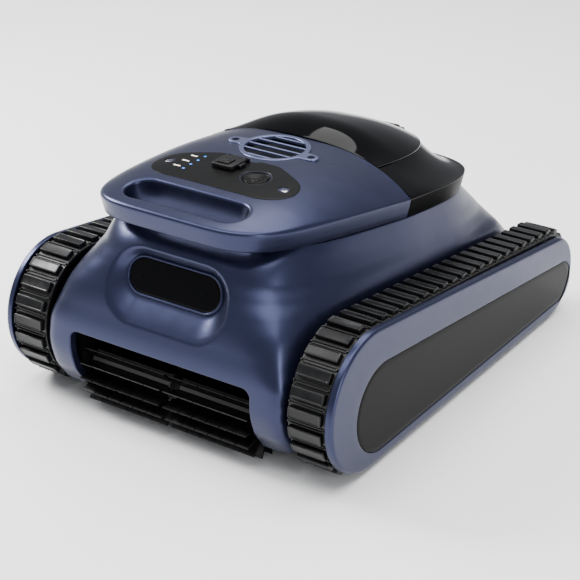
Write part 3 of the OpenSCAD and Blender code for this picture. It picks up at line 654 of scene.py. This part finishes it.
def build_hull():
    b = Build()
    zs = np.unique(np.r_[np.linspace(Z_LOW, 84, 22), np.linspace(84, 97, 14), MOUTH_Z + LIP,
                         np.linspace(97, 124, 20), np.linspace(124, Z_TOP, 80)])
    rows = [recess(hull_ring(z)) for z in zs]
    base = b.grid(rows)
    P = np.array(b.v)
    b.f = [q for q in b.f if not in_mouth(*P[list(q)].mean(0))]
    after = mouth_edge(P, b.f)
    round_mouth(b, after)
    mouth_lip(b, after)
    low = rows[0]
    solid = (np.abs(low[:, 0]) >= MOUTH_W + LIP - 0.01) | (low[:, 1] >= MOUTH_Y)
    steps = ((0.6, -1.3), (2.0, -2.2), (4.5, -2.4), (5.0, 1.0), (5.0, 12.0))
    turn_in(b, Z_LOW, low, base[0], steps, solid, False)
    turn_in(b, Z_TOP, rows[-1], base[-1], ((0.1, 0.2), (3.0, 0.2), (3.0, -14.0)), [True] * len(low), True)
    b.piece("hull_skin", BLUE, replaces=["upper_shell"], weld=None)


def build_window():
    rim = Build()
    steps = [(0.0, -3.0), (0.0, 1.3), (0.35, 2.0), (1.1, 2.3), (1.9, 1.9), (2.5, 0.9), (3.0, 0.15),
             (3.6, -0.3)]
    rim.grid(window_rows(stadium(WIN_W + 0.3, WIN_H + 0.3, 0, 1.6), steps))
    rim.piece("window_rim", BLUE)
    lens = Build()
    steps = [(0.0, -3.4), (0.0, 0.1), (-0.25, 0.4), (-1.0, 0.55), (-4, 0.62), (-9, 0.72), (-14, 0.78),
             (-18.2, 0.8)]
    lens.grid(window_rows(stadium(WIN_W, WIN_H, 0, 1.6), steps), cap0=True, cap1=True)
    lens.piece("window_glass", LENS, replaces=["window_lens"], sharp=50)


build_hull()
build_window()

# ---- deck and handle
SLOT_W, SLOT_R, SLOT_Y = 69.5, 18.5, -205.5


def port_opening(step):
    x, y = PORT
    return resample(np.array([[x - 11, y - 9], [x + 11, y - 9], [x + 11, y + 9], [x - 11, y + 9]]), step)


def gap_to(p, other):
    return np.array([np.min(np.hypot(other[:, 0] - q[0], other[:, 1] - q[1])) for q in p])


def at_seam(row, y=SEAM):
    """Puts both ends of a row on the seam."""
    row[0][1] = row[-1][1] = y
    return row


def edge_z(p, nrm, d):
    """Height that the deck's slope reaches a distance d outward of the points p."""
    step = 0.25
    z = on_deck(p)
    return z + (z - on_deck(p - nrm * step)) / step * d


def build_deck():
    b = Build()
    front_half = (math.pi, 2 * math.pi)
    outline = resample(cap_pt(np.linspace(*front_half, 300), 1.0), 2.0, closed=False)
    outline[0], outline[-1] = (-137, SEAM), (137, SEAM)
    nrm = normals2(outline, closed=False)
    nrm[0], nrm[-1] = (-1, 0), (1, 0)
    slot = stadium(SLOT_W, SLOT_R, SLOT_Y, 1.8)
    sn = normals2(slot)
    d_out = np.minimum(5.6 - 4.0 * smooth01((outline[:, 1] + 215) / 120), 0.45 * gap_to(outline, slot))
    d_in = np.minimum(4.5, 0.45 * gap_to(slot, outline))
    inner = at_seam(outline - nrm * d_out[:, None])
    s_out = slot + sn * d_in[:, None]
    back = level(np.linspace(inner[-1][0], inner[0][0], 120)[1:-1], SEAM)
    # each hole's outline and the depth of its wall
    holes = [(circle2(GRILLE, 33.5, 90), 6), (circle2(BUTTON, 15.2, 60), 6), (port_opening(2.0), 6)]
    holes += [(circle2(ear, 2.4, 20), 5) for ear in EARS]
    pts = [hexgrid(-140, 140, CAP_F, SEAM - 1.2, 3.4)]
    pts += [cap_pt(np.linspace(*front_half, 330), r) for r in (0.9, 0.93, 0.95, 0.965)]
    sheet(b, np.vstack([inner, back]), [s_out] + [h for h, _ in holes], np.vstack(pts), deck_z)
    # outer edge: C is its sharp corner, E the foot of the wall, F and G where the two fillets begin and
    # end; the lower one fades out rearward, where the hull is flush with the cap
    low = cap_low(outline[:, 1])
    z_edge = edge_z(inner, nrm, d_out)
    C = np.c_[outline, z_edge]
    E = at_seam(np.c_[outline - nrm * SKIRT_IN, low])
    F = C + (E - C) * (np.minimum(4.2, d_out) / (z_edge - low))[:, None]
    soft = 2.2 - 1.95 * smooth01((outline[:, 1] + 150) / 34)
    G = C + (E - C) * ((z_edge - low - soft) / (z_edge - low))[:, None]
    H = at_seam(np.c_[outline - nrm * (SKIRT_IN + soft + 0.2)[:, None], low])
    rows = bez(np.c_[inner, on_deck(inner)], C, F, 8)
    rows += [F + (G - F) * k for k in (0.33, 0.66)] + bez(G, E, H, 6)
    rows.append(at_seam(np.c_[outline - nrm * 30, low + 0.4]))
    b.grid(rows, closed=False)
    # edge and wall of the handle slot
    low = cap_low(slot[:, 1])
    z_edge = edge_z(s_out, -sn, d_in)
    F = np.c_[slot, z_edge - d_in]
    G = np.c_[slot, low + 3.0]
    H = np.c_[slot + sn * np.minimum(3.0, d_in)[:, None], low]
    rows = bez(np.c_[s_out, on_deck(s_out)], np.c_[slot, z_edge], F, 8)
    rows += [F + (G - F) * 0.5] + bez(G, np.c_[slot, low], H, 6)
    b.grid(rows, flip=True)
    # step down to the hood, and the walls of the holes
    edge = np.vstack([inner[:1], back[::-1], inner[-1:]])
    top = np.c_[edge, on_deck(edge)]
    b.grid([top, top - [0, 0, 6.0]], closed=False)
    for h, depth in holes:
        top = np.c_[h, on_deck(h)]
        b.grid([top, top - [0, 0, depth]], flip=True)
    b.piece("deck_skin", BLUE, replaces=["deck"], weld=2 * WELD, sharp=60)


build_deck()

# ---- rear hood and lid
LID_SEAT = 0.9
LID_T = 3.0
LUG_R = 3.6


def hood_row(out, inn, u):
    """Row of the hood's top, u of the way from its crease to the lid's outline."""
    xy = out + (inn - out) * u
    z_out = crease(out[:, 1])
    power = 0.77 + 1.08 * smooth01((xy[:, 1] - SEAM) / 120)
    return np.c_[xy, z_out + (lid_edge(inn[:, 1]) - LID_SEAT - z_out) * u ** power]


def build_hood():
    out = at_seam(cap_pt(np.linspace(0, math.pi, 300), 1.0))
    nrm = normals2(out, closed=False)
    nrm[0], nrm[-1] = (1, 0), (-1, 0)
    # points of both outlines are matched by their share of the way round
    path = lid_rear(SEAM + 0.3, 900)
    s_out, s_in = along(out), along(path)
    inn = np.stack([np.interp(s_out / s_out[-1], s_in / s_in[-1], path[:, k]) for k in (0, 1)], 1)
    low, z_out = cap_low(out[:, 1]), crease(out[:, 1])
    # C is the crease, E the foot of the band, D and F the ends of the crease's fillet
    fillet = 1.0
    C = np.c_[out, z_out]
    E = at_seam(np.c_[out - nrm * SKIRT_IN, low])
    D = C + (E - C) * (fillet / (z_out - low))[:, None]
    inward = hood_row(out, inn, 0.0875862069) - C
    F = C + inward / np.linalg.norm(inward, axis=1)[:, None] * fillet
    band = [np.c_[out - nrm * 12, low]] + [E + (D - E) * k for k in (0, 0.04, 0.3, 0.6, 0.85)]
    top = bez(D, C, F, 6) + [hood_row(out, inn, u) for u in np.linspace(0.035, 1, 30)]
    # ledge under the lid's edge
    d = inn - [0, 40.0]
    d /= np.linalg.norm(d, axis=1)[:, None]
    for inset, drop in ((3.0, 0.4), (8.0, 0.6), (8.0, 3.6)):
        q = inn - d * inset
        q[:, 1] = np.maximum(q[:, 1], SEAM + 0.3)
        top.append(np.c_[q, lid_edge(q[:, 1]) - LID_SEAT - drop])
    for row in band + top:
        at_seam(row, SEAM + 0.35)
    skirt = Build()
    skirt.grid(band + top[:1], closed=False)
    skirt.piece("hood_band", BLACK, sharp=35)
    b = Build()
    b.grid(top, closed=False)
    # ledge in front, under the lid's front edge
    xs = np.linspace(-88, 88, 60)
    arch = lid_edge(SEAM) + 13 * (1 - np.abs(xs / LID_W) ** LID_N)
    steps = ((0.35, 3.5), (9, 6.5))
    b.grid([np.c_[level(xs, SEAM + back), arch - drop] for back, drop in steps], closed=False)
    b.piece("hood_skin", GLOSS, replaces=["rear_hood"], sharp=35)
    lugs = Build()
    prof = LID_PIN + np.vstack([[(-LUG_R, -16.0), (LUG_R, -16.0)], circle2((0, 0), LUG_R, 13, 0, 180, True)])
    for s in (-1, 1):
        lugs.bar(prof, s * 25 - 2.5, s * 25 + 2.5)
    lugs.piece("hinge_lugs", GLOSS, bevel=0.3)


def build_lid():
    b = Build()
    y0 = SEAM + 0.5
    edge = resample(lid_rear(y0, 1400), 2.0, closed=False)
    inner = at_seam(edge - normals2(edge, closed=False) * 0.55, y0 + 0.35)

    def with_front(line, y):
        return np.vstack([line, level(np.linspace(line[-1][0], line[0][0], 90)[1:-1], y)])

    outer, loop = with_front(inner, y0 + 0.35), with_front(edge, y0)
    pts = [hexgrid(-100, 100, y0, LID_R, 3.2)]
    pts += [lid_pt(np.linspace(0, 2 * math.pi, 420), r) for r in (0.85, 0.9, 0.94, 0.97, 0.985)]
    sheet(b, outer, [], np.vstack(pts), lid_z)
    # small edge turn, wall and underside all round
    z_edge = lid_z(*loop.T)
    z_low = np.where(np.arange(len(loop)) < len(edge), lid_edge(loop[:, 1]) + 0.02, z_edge - 3.2)
    inward = [0, 50.0] - loop
    inward /= np.linalg.norm(inward, axis=1)[:, None]
    inn = loop + inward * 3.4
    rows = bez(np.c_[outer, lid_z(*outer.T)], np.c_[loop, z_edge], np.c_[loop, z_edge - 0.45], 4)
    rows += [np.c_[loop, z_low], np.c_[loop + inward * 2.4, z_low], np.c_[inn, lid_z(*inn.T) - LID_T]]
    b.grid(rows)
    sheet(b, inn, [], hexgrid(-100, 100, y0, LID_R, 7.0), lambda x, y: lid_z(x, y) - LID_T, flip=True)
    b.piece("lid_dome", GLOSS, body="lid", replaces=["lid"], weld=2 * WELD, sharp=40)
    knuckle = Build()
    arm = [(-7.5, 4.6), (-7.5, 6.4), (-2.0, 6.2), (0.6, 5.6), (2.6, 3.6)]
    prof = np.vstack([arm, circle2((0, 0), LUG_R, 15, 30, -180, True), [(-LUG_R, 4.4)]])
    knuckle.bar(LID_PIN + prof, -21.8, 21.8)
    knuckle.piece("lid_knuckle", GLOSS, body="lid", bevel=0.3)


build_hood()
build_lid()

# ---- control panel


def panel_at(x, y):
    return deck_z(x, y) + PANEL_T


def panel_outline():
    p = hull2([(-52, -143, 31), (52, -143, 31), (-30, -118.5, 20), (30, -118.5, 20)], 1.6)
    # notch in the rear edge beside the outlet
    x, y = p[:, 0], p[:, 1]
    notch = 4.5 * smooth01((x + 20) / 4.0) * smooth01((14 - x) / 6.0)
    p[:, 1] = np.where(y > -105, y - notch, y)
    return p


def build_panel_face():
    b = Build()
    out = panel_outline()
    inner = out - normals2(out) * 0.7
    port = port_opening(1.6)
    pockets = [circle2(c, 6.2, 40) for c in SCREWS]
    holes = [port, circle2(BUTTON, 17.0, 72)] + pockets
    sheet(b, inner, holes, hexgrid(-85, 85, -176, -96, 3.2), panel_at)
    z_edge = on_deck(out)
    b.grid(bez(np.c_[inner, panel_at(*inner.T)], np.c_[out, z_edge + PANEL_T], np.c_[out, z_edge - 0.4], 5))
    dish = turned(BUTTON, float(panel_at(*BUTTON)),
                  ((17.0, 0.0), (16.5, -0.2), (15.6, -1.0), (13.6, -1.9), (13.0, -2.3), (13.0, -7.0)), 72)
    dish[0][:, 2] = on_deck(dish[0]) + PANEL_T
    b.grid(dish, flip=True)
    top = np.c_[port, panel_at(*port.T)]
    b.grid([top, top - [0, 0, 5]], flip=True)
    for c, p in zip(SCREWS, pockets):
        z = panel_at(*p.T)
        b.grid([np.c_[p, z]] + turned(c, z.mean(), ((5.8, -0.3), (5.7, -2.6), (0.3, -2.7)), 40), flip=True)
    # two posts for the port flap, each with a stub of its pin
    prof = FLAP_PIN + np.vstack([[(-1.7, -4.0), (1.7, -4.0)], circle2((0, 0), 1.7, 10, 0, 180, True)])
    for s in (-1, 1):
        x = PORT[0] + s * 11.6
        b.bar(prof, x - 1, x + 1)
    for x0, x1 in ((-20.6, -18.8), (-0.2, 1.6)):
        b.bar(circle2(FLAP_PIN, 0.8, 12), x0, x1)
    b.piece("panel_face", SATIN, replaces=["control_panel"], weld=2 * WELD, sharp=35)


def build_button():
    b = Build()
    steps = ((12.6, -6.0), (12.6, -1.5), (12.2, -1.1), (11.4, -0.95), (10.2, -1.2), (8.2, -2.1), (5.8, -2.8),
             (4.0, -3.0), (3.6, -2.6), (3.0, -2.2), (0.3, -2.1))
    b.grid(turned(BUTTON, float(panel_at(*BUTTON)), steps, 60), cap1=True)
    b.piece("button_cap", SATIN, body="power_button", replaces=["power_button"], sharp=50)


def build_panel_screws():
    """Two screws with a hexagon socket."""
    for c, letter in zip(SCREWS, "ab"):
        b = Build()
        foot = float(panel_at(*c)) - 2.6
        rows = turned(c, foot, ((4.4, 0.0), (4.4, 1.2), (4.1, 1.8), (3.2, 2.2), (2.2, 2.35)), 36)
        socket = resample(circle2(c, 1.9, 6), 1.9 / 6)
        b.grid(rows + [level(socket, foot + 2.3), level(socket, foot + 0.6)], cap1=True)
        b.piece("panel_screw_" + letter, STEEL,
                replaces=["panel_screws"] if letter == "a" else (), sharp=40)


def build_lights():
    bars = Build()
    for y in (-150.0, -135.5, -121.0):
        z = float(panel_at(-53.0, y))
        bars.box((-57.4, y - 1.1, z - 0.6), (-48.6, y + 1.1, z + 0.12))
    bars.piece("status_bar_faces", WARM, replaces=["status_bars"], bevel=0.25)
    dots = Build()
    for y in (-153.0, -141.0, -129.0, -117.0):
        c = (-43.0, y)
        dots.grid(turned(c, float(panel_at(*c)), ((1.5, -0.6), (1.5, 0.05), (1.2, 0.16)), 24), cap1=True)
    dots.piece("charge_light_faces", COOL, replaces=["charge_lights"], sharp=40)


def slab(b, x0, x1, y0, y1, z0, z1, r, e):
    """Plate with corners of radius r and a top edge rounded by e, placed from the port's middle."""
    p = resample(PORT + round_rect(x0, x1, y0, y1, r, 7), 0.9)
    nn = normals2(p)
    b.grid([level(p, z0), level(p, z1 - e), level(p - nn * e * 0.3, z1 - e * 0.3), level(p - nn * e, z1)],
           cap0=True, cap1=True)


def build_port_flap():
    b = Build()
    z = 250.9
    slab(b, -13, 13, -13, 14, z, z + 4.0, 3.0, 0.9)
    slab(b, -9.5, 6.0, -9, 5, z + 3.6, z + 5.6, 2.0, 0.6)
    slab(b, -6.0, 3.0, -6, 0.5, z + 5.2, z + 6.0, 1.5, 0.3)
    slab(b, 11, 16.5, -3, 7, z, z + 2.8, 1.5, 0.6)
    slab(b, -8, 8, -6, 5, z - 2.7, z + 0.4, 1.5, 0.3)
    slab(b, -9, 9, 12, 17.2, z + 0.2, z + 2.9, 0.8, 0.5)
    b.bar(circle2(FLAP_PIN, 1.5, 18), PORT[0] - 9, PORT[0] + 9)
    b.piece("port_flap", RUBBER, body="port_plug", replaces=["port_plug"], sharp=45)


build_panel_face()
build_button()
build_panel_screws()
build_lights()
build_port_flap()

# ---- water outlet
RING_R, EAR_R = 37.0, 8.0
GRILLE_Z, GRILLE_LOW = 250.25, 247.0


def ring_reach(a):
    """Radius of the ring with its two ears in the direction a: the ears are circles swept from the middle."""
    best = RING_R
    for ear in EARS:
        for k in np.linspace(0, 1, 40):
            ex, ey = (ear[0] - GRILLE[0]) * k, (ear[1] - GRILLE[1]) * k
            ahead = ex * math.cos(a) + ey * math.sin(a)
            off2 = ex * ex + ey * ey - ahead * ahead
            if off2 < EAR_R ** 2:
                best = max(best, ahead + math.sqrt(EAR_R ** 2 - off2))
    return best


def build_grille():
    b = Build()
    c = np.array(GRILLE)
    ang = np.linspace(0, 2 * math.pi, 360, endpoint=False)
    reach = np.array([ring_reach(a) for a in ang])
    # a short weighted mean rounds the necks of the ears
    weights = np.array([1, 2, 3, 4, 3, 2, 1]) / 16
    reach = np.convolve(np.r_[reach[-3:], reach, reach[:3]], weights, "valid")
    out = resample(c + np.c_[reach * np.cos(ang), reach * np.sin(ang)], 1.3)
    hole = circle2(c, 31.8, 120)
    ears = [circle2(ear, 4.0, 36) for ear in EARS]
    edge = 1.0
    o_in, h_out = out - normals2(out) * edge, hole + normals2(hole) * edge
    sheet(b, o_in, [h_out] + ears, hexgrid(-60, 60, -96, -16, 3.0), lambda x, y: np.full(len(x), GRILLE_Z))
    for flat, wall, flip in ((o_in, out, False), (h_out, hole, True)):
        rows = bez(level(flat, GRILLE_Z), level(wall, GRILLE_Z), level(wall, GRILLE_Z - edge), 5)
        b.grid(rows + [level(wall, GRILLE_LOW)], flip=flip)
    for e in ears:
        b.grid([level(e, GRILLE_Z), level(e, GRILLE_Z - 2.2)], flip=True)
    slat = [(-1.1, 246.9), (1.1, 246.9), (1.1, 249.2), (0.7, 249.6), (-0.7, 249.6), (-1.1, 249.2)]
    for k in range(-2, 3):
        off = 13.6 * k
        half = math.sqrt(32.2 ** 2 - off ** 2)
        b.bar(np.array(slat) + [GRILLE[1] + off, 0], -half, half)
    b.piece("outlet_ring", PALE, replaces=["outlet_grille"], sharp=40)
    for ear, letter in zip(EARS, "ab"):
        screw = Build()
        steps = ((3.5, 0.8), (3.5, 1.6), (3.0, 2.0), (1.7, 2.1), (1.5, 1.2), (0.2, 1.1))
        screw.grid(turned(ear, GRILLE_LOW, steps, 30), cap1=True)
        screw.piece("grille_screw_" + letter, DARK,
                    replaces=["grille_screws"] if letter == "a" else (), sharp=40)


build_grille()

# ---- tracks
PAD_H, BAND_T, PADS = 5.5, 3.5, 58
BELT_X0, BELT_X1 = 149.0, 190.5
SIDES = ((-1, "left"), (1, "right"))


def belt_angles(front, rear):
    """Outward angles of the upper and the lower straight run round two circles."""
    dy, dz = rear[0] - front[0], rear[1] - front[1]
    middle, off = math.atan2(dz, dy), math.acos((front[2] - rear[2]) / math.hypot(dy, dz))
    return middle + off, middle - off


UP, LOW = belt_angles(FRONT, REAR)
RF, RR = FRONT[2] - PAD_H, REAR[2] - PAD_H
RUN = math.sqrt((REAR[0] - FRONT[0]) ** 2 + (REAR[1] - FRONT[1]) ** 2 - (RF - RR) ** 2)
FRONT_ARC = (2 * math.pi + LOW - UP) * RF
REAR_ARC = (UP - LOW) * RR
LOOP = FRONT_ARC + REAR_ARC + 2 * RUN


def on_loop(s):
    """Point on the belt's surface and its outward angle, a length s round the loop."""
    s = s % LOOP
    wheel, r, a, run = REAR, RR, UP, s - FRONT_ARC - RUN - REAR_ARC
    if s < FRONT_ARC:
        wheel, r, a, run = FRONT, RF, UP + s / RF, 0.0
    elif s < FRONT_ARC + RUN:
        wheel, r, a, run = FRONT, RF, LOW, s - FRONT_ARC
    elif s < FRONT_ARC + RUN + REAR_ARC:
        wheel, r, a, run = REAR, RR, LOW + (s - FRONT_ARC - RUN) / RR, 0.0
    return wheel[0] + r * math.cos(a) - run * math.sin(a), wheel[1] + r * math.sin(a) + run * math.cos(a), a


def belt_place(s, h):
    y, z, a = on_loop(s)
    return y + h * math.cos(a), z + h * math.sin(a)


def build_belt(side, name):
    """Belt band with two low ribs in each groove and a knob past each end of them."""
    b = Build()
    flip = side < 0
    n = 480

    def row(x, h):
        return upright(side * x, np.array([belt_place(i * LOOP / n, h) for i in range(n)]))

    x0, x1, t = BELT_X0, BELT_X1, BAND_T
    steps = ((x0, -t), (x0, -0.5), (x0 + 0.5, 0), (x1 - 0.5, 0), (x1, -0.5), (x1, -t))
    b.grid([row(x, h) for x, h in steps], flip=flip)
    b.grid([row(x1, -t), row(x0, -t)], flip=flip)
    rib = [(-0.65, -0.2), (-0.5, 1.25), (-0.2, 1.5), (0.2, 1.5), (0.5, 1.25), (0.65, -0.2)]
    for i in range(PADS):
        start = i * LOOP / PADS
        for off in (2.4, 5.4):
            prof = [belt_place(start + off + ds, h) for ds, h in rib]
            b.bar(prof, side * (x0 + 2.4), side * (x1 - 2.4), flip)
        y, z, a = on_loop(start + 3.9)
        for x in (x0 + 1.2, x1 - 1.2):
            rows = []
            for r, h in ((1.15, -0.3), (1.15, 1.5), (0.85, 2.0), (0.3, 2.2)):
                dx, ds = circle2((0, 0), r, 10).T
                rows.append(np.c_[side * x + dx, y + h * math.cos(a) - ds * math.sin(a),
                                  z + h * math.sin(a) + ds * math.cos(a)])
            b.grid(rows, cap1=True, flip=flip)
    b.piece("belt_band_" + name, BAND, replaces=["track_belt_" + name], sharp=35)


def build_pads(side, name):
    """Flat lugs with a raised lip round a shallow dish."""
    b = Build()
    steps = ((0.0, -0.4), (0.25, 3.6), (0.45, 4.9), (0.8, 5.35), (1.25, PAD_H), (1.7, 5.35), (2.0, 5.0),
             (2.6, 4.9))
    for i in range(PADS):
        middle = i * LOOP / PADS + 13.4
        rings = []
        for inset, h in steps:
            half = 5.5 - inset * 0.75
            edge = 2.2 + inset
            ring = round_rect(BELT_X0 + edge, BELT_X1 - edge, -half, half, 0.9, 3)
            rings.append([(side * x,) + belt_place(middle + ds, h) for x, ds in ring])
        b.grid(rings, cap1=True, flip=side < 0)
    b.piece("tread_pads_" + name, TREAD, sharp=40)


# ---- side covers
COVER = [(-184.0, 78.0, 73.0), (207.0, 51.0, 47.0)]
PANEL = [(-165.0, 64.0, 47.0), (225.0, 40.0, 24.0)]
COVER_X, COVER_R = 196.2, 3.8


def support_outline(front, rear):
    """Hull of two circles as y, z and outward angle: 90 points on each arc and each straight side."""
    up, low = belt_angles(front, rear)

    def arc(c, a0, a1):
        t = np.linspace(a0, a1, 90, endpoint=False)
        return np.stack([c[0] + c[2] * np.cos(t), c[1] + c[2] * np.sin(t), t], 1)

    def straight(c0, c1, a):
        ends = [np.array([c[0] + c[2] * math.cos(a), c[1] + c[2] * math.sin(a), a]) for c in (c0, c1)]
        return np.array([ends[0] + (ends[1] - ends[0]) * k for k in np.linspace(0, 1, 90, endpoint=False)])

    return np.vstack([arc(rear, low, up), straight(rear, front, up),
                      arc(front, up, low + 2 * math.pi), straight(front, rear, low)])


def build_cover(side, name):
    cover, panel = support_outline(*COVER), support_outline(*PANEL)

    def row(outline, out, x):
        y, z, a = outline.T
        return np.c_[np.full(len(a), side * x), y + out * np.cos(a), z + out * np.sin(a)]

    b = Build()
    steps = ((-4.0, 195.4), (-4.0, 192.6), (-0.5, 192.5), (0, 193.0), (0, 196.0))
    rows = [row(cover, out, x) for out, x in steps]
    rows += [row(cover, COVER_R * (math.cos(a) - 1), COVER_X + COVER_R * math.sin(a))
             for a in np.radians([15, 30, 45, 60, 75, 90])]
    face0, face1 = row(cover, -COVER_R - 2, 200.0), row(panel, 1.6, 200.0)
    rows += [face0 + (face1 - face0) * k for k in (0, 0.25, 0.5, 0.75, 1.0)]
    rows += [row(panel, out, x) for out, x in ((0.9, 199.95), (0.45, 199.7), (0.3, 199.3), (0.3, 198.2))]
    b.grid(rows, flip=side > 0)
    # two stepped posts that hold the cover on the hull
    for y in (-60, 90):
        for r, x0, x1 in ((10, 146.3, 196), (5, 133, 147)):
            b.grid([upright(side * x, circle2((y, 66), r, 32)) for x in (x0, x1)], cap0=True, flip=side < 0)
    b.piece("cover_shell_" + name, BLUE, replaces=["side_cover_" + name], sharp=40)
    inlay = Build()
    steps = ((1.6, 198.0), (-0.25, 198.0), (-0.25, 199.15), (-0.45, 199.45), (-0.9, 199.6), (-6, 199.6))
    inlay.grid([row(panel, out, x) for out, x in steps], cap1=True, flip=side > 0)
    inlay.piece("cover_inlay_" + name, INSET, replaces=["side_panel_" + name], sharp=30)


for sign, word in SIDES:
    build_belt(sign, word)
    build_pads(sign, word)
for sign, word in SIDES:
    build_cover(sign, word)

# ---- brush
BRUSH = np.array([-214.5, 43.0])
FINS = 16


def both_sides(half, tip=()):
    """Fin profile from the (radius, half thickness) points of one face."""
    return np.array([(r, -h) for r, h in half] + list(tip) + half[::-1])


def build_roller():
    tubes = Build()
    for s in (-1, 1):
        steps = ((5.4, 16), (5.4, 19.8), (6.2, 20.7), (103.6, 20.7), (104.4, 19.9), (105.4, 18.2), (105.4, 5))
        tubes.grid([upright(s * x, circle2(BRUSH, r, 72)) for x, r in steps], flip=s < 0)
    # the tubes take the core colour, which carries a painted highlight
    tubes.piece("roller_tubes", CORE_PAINTED_HIGHLIGHT, body="brush", replaces=["brush_core"], sharp=40)
    ring = Build()
    steps = ((-5, 19.5), (-5, 20.9), (-4.3, 21.5), (-1.2, 21.5), (-0.9, 20.8), (0.9, 20.8), (1.2, 21.5),
             (4.3, 21.5), (5, 20.9), (5, 19.5))
    ring.grid([upright(x, circle2(BRUSH, r, 72)) for x, r in steps])
    ring.piece("roller_ring", DARK, body="brush", replaces=["brush_ring"], sharp=40)


def build_fins():
    """Each fin has a foot along the whole half roller and six flaps with narrow cuts between them."""
    b = Build()
    foot = both_sides([(20.4, 2.2), (22.5, 1.5), (24.0, 1.25)])
    flap = both_sides([(23.5, 1.2), (32, 1.05), (39, 0.85), (41.0, 0.8), (41.7, 0.5)], [(42.0, 0.0)])
    cuts = [2.0] + [6 + k * 98 / 6 for k in range(1, 6)] + [103.7]
    for s in (-1, 1):
        for i in range(FINS):
            a = 2 * math.pi * i / FINS + math.radians(2)
            turn = np.array([(math.cos(a), math.sin(a)), (-math.sin(a), math.cos(a))])
            b.bar(BRUSH + foot @ turn, s * 6.5, s * 103.5, s < 0)
            for x0, x1 in zip(cuts[:-1], cuts[1:]):
                b.bar(BRUSH + flap @ turn, s * (x0 + 0.45), s * (x1 - 0.45), s < 0)
    b.piece("roller_fins", FIN, body="brush", replaces=["brush_fins"], sharp=35)


build_roller()
build_fins()

# ---- carried-over CAD nodes
FINISHES = [
    (DARK, ["base_tub", "impeller"]),
    (RUBBER, ["lid_seal", "inlet_flap"]),
    (STEEL, ["lid_hinge_pin", "pump_motor", "brush_axle"]),
    (BASKET, ["filter_basket"]),
    (MESH, ["filter_mesh"]),
    (GREY, ["charging_port", "outlet_duct", "brush_bearings"]),
    (BOARD, ["sensor_board", "control_board"]),
    (CELLS, ["battery_pack"])]
for _, word in SIDES:
    FINISHES += [(GREY, ["gearbox_" + word]), (DARK, ["sprocket_" + word, "idler_" + word]),
                 (STEEL, ["drive_motor_" + word, "drive_shaft_" + word, "idler_axle_" + word])]
for finish, names in FINISHES:
    for name in names:
        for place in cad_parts[name].material_slots:
            place.link = "OBJECT"
            place.material = finish

# ---- stage, lights, camera
FLOOR_HALF, FLOOR_Z = 7, -0.0003


def build_stage():
    me = bpy.data.meshes.new("floor")
    corners = [(x, y, FLOOR_Z) for y in (-FLOOR_HALF, FLOOR_HALF) for x in (-FLOOR_HALF, FLOOR_HALF)]
    me.from_pydata(corners, [], [(0, 1, 3, 2)])
    me.materials.append(material("floor", (0.94, 0.94, 0.94, 1), rough=0.55, rough_var=0.03,
                                 tint=0.01, tint_scale=3.0))
    floor = bpy.data.objects.new("floor", me)
    bpy.context.collection.objects.link(floor)
    world = bpy.data.worlds.new("world")
    world.use_nodes = True
    sky = world.node_tree.nodes["Background"]
    sky.inputs["Color"].default_value = (0.92, 0.94, 1.0, 1)
    sky.inputs["Strength"].default_value = 0.5
    bpy.context.scene.world = world


def area(name, loc, target, size, power):
    """Rectangular light at loc that faces target, in metres and watts."""
    light = bpy.data.lights.new(name, "AREA")
    light.shape = "RECTANGLE"
    light.size, light.size_y = size
    light.energy = power
    ob = bpy.data.objects.new(name, light)
    bpy.context.collection.objects.link(ob)
    ob.location = loc
    ob.rotation_euler = (Vector(target) - Vector(loc)).to_track_quat("-Z", "Y").to_euler()


def build_camera(location, azimuth, elevation):
    cam = bpy.data.cameras.new("camera")
    cam.lens = 100.0
    cam.sensor_width = 36.0
    cam.sensor_fit = "HORIZONTAL"
    cam.clip_start = 0.05
    ob = bpy.data.objects.new("camera", cam)
    bpy.context.collection.objects.link(ob)
    az, el = math.radians(azimuth), math.radians(elevation)
    look = Vector((-math.sin(az) * math.cos(el), math.cos(az) * math.cos(el), -math.sin(el)))
    ob.location = location
    ob.rotation_euler = look.to_track_quat("-Z", "Y").to_euler()
    bpy.context.scene.camera = ob


build_stage()
area("key", (-1.5, -0.3, 1.3), (0, -0.05, 0.12), (0.8, 0.6), 62)
area("fill", (1.7, -0.75, 0.6), (0, -0.1, 0.12), (0.25, 0.9), 12)
area("top_rear", (0.1, 1.15, 2.5), (0, 0.2, 0), (3.2, 1.3), 82)
area("top_front", (0.2, -0.75, 2.6), (0, -0.1, 0), (3.2, 1.5), 88)
build_camera((0.87622, -1.31898, 0.83623), 34.19, 25.95)
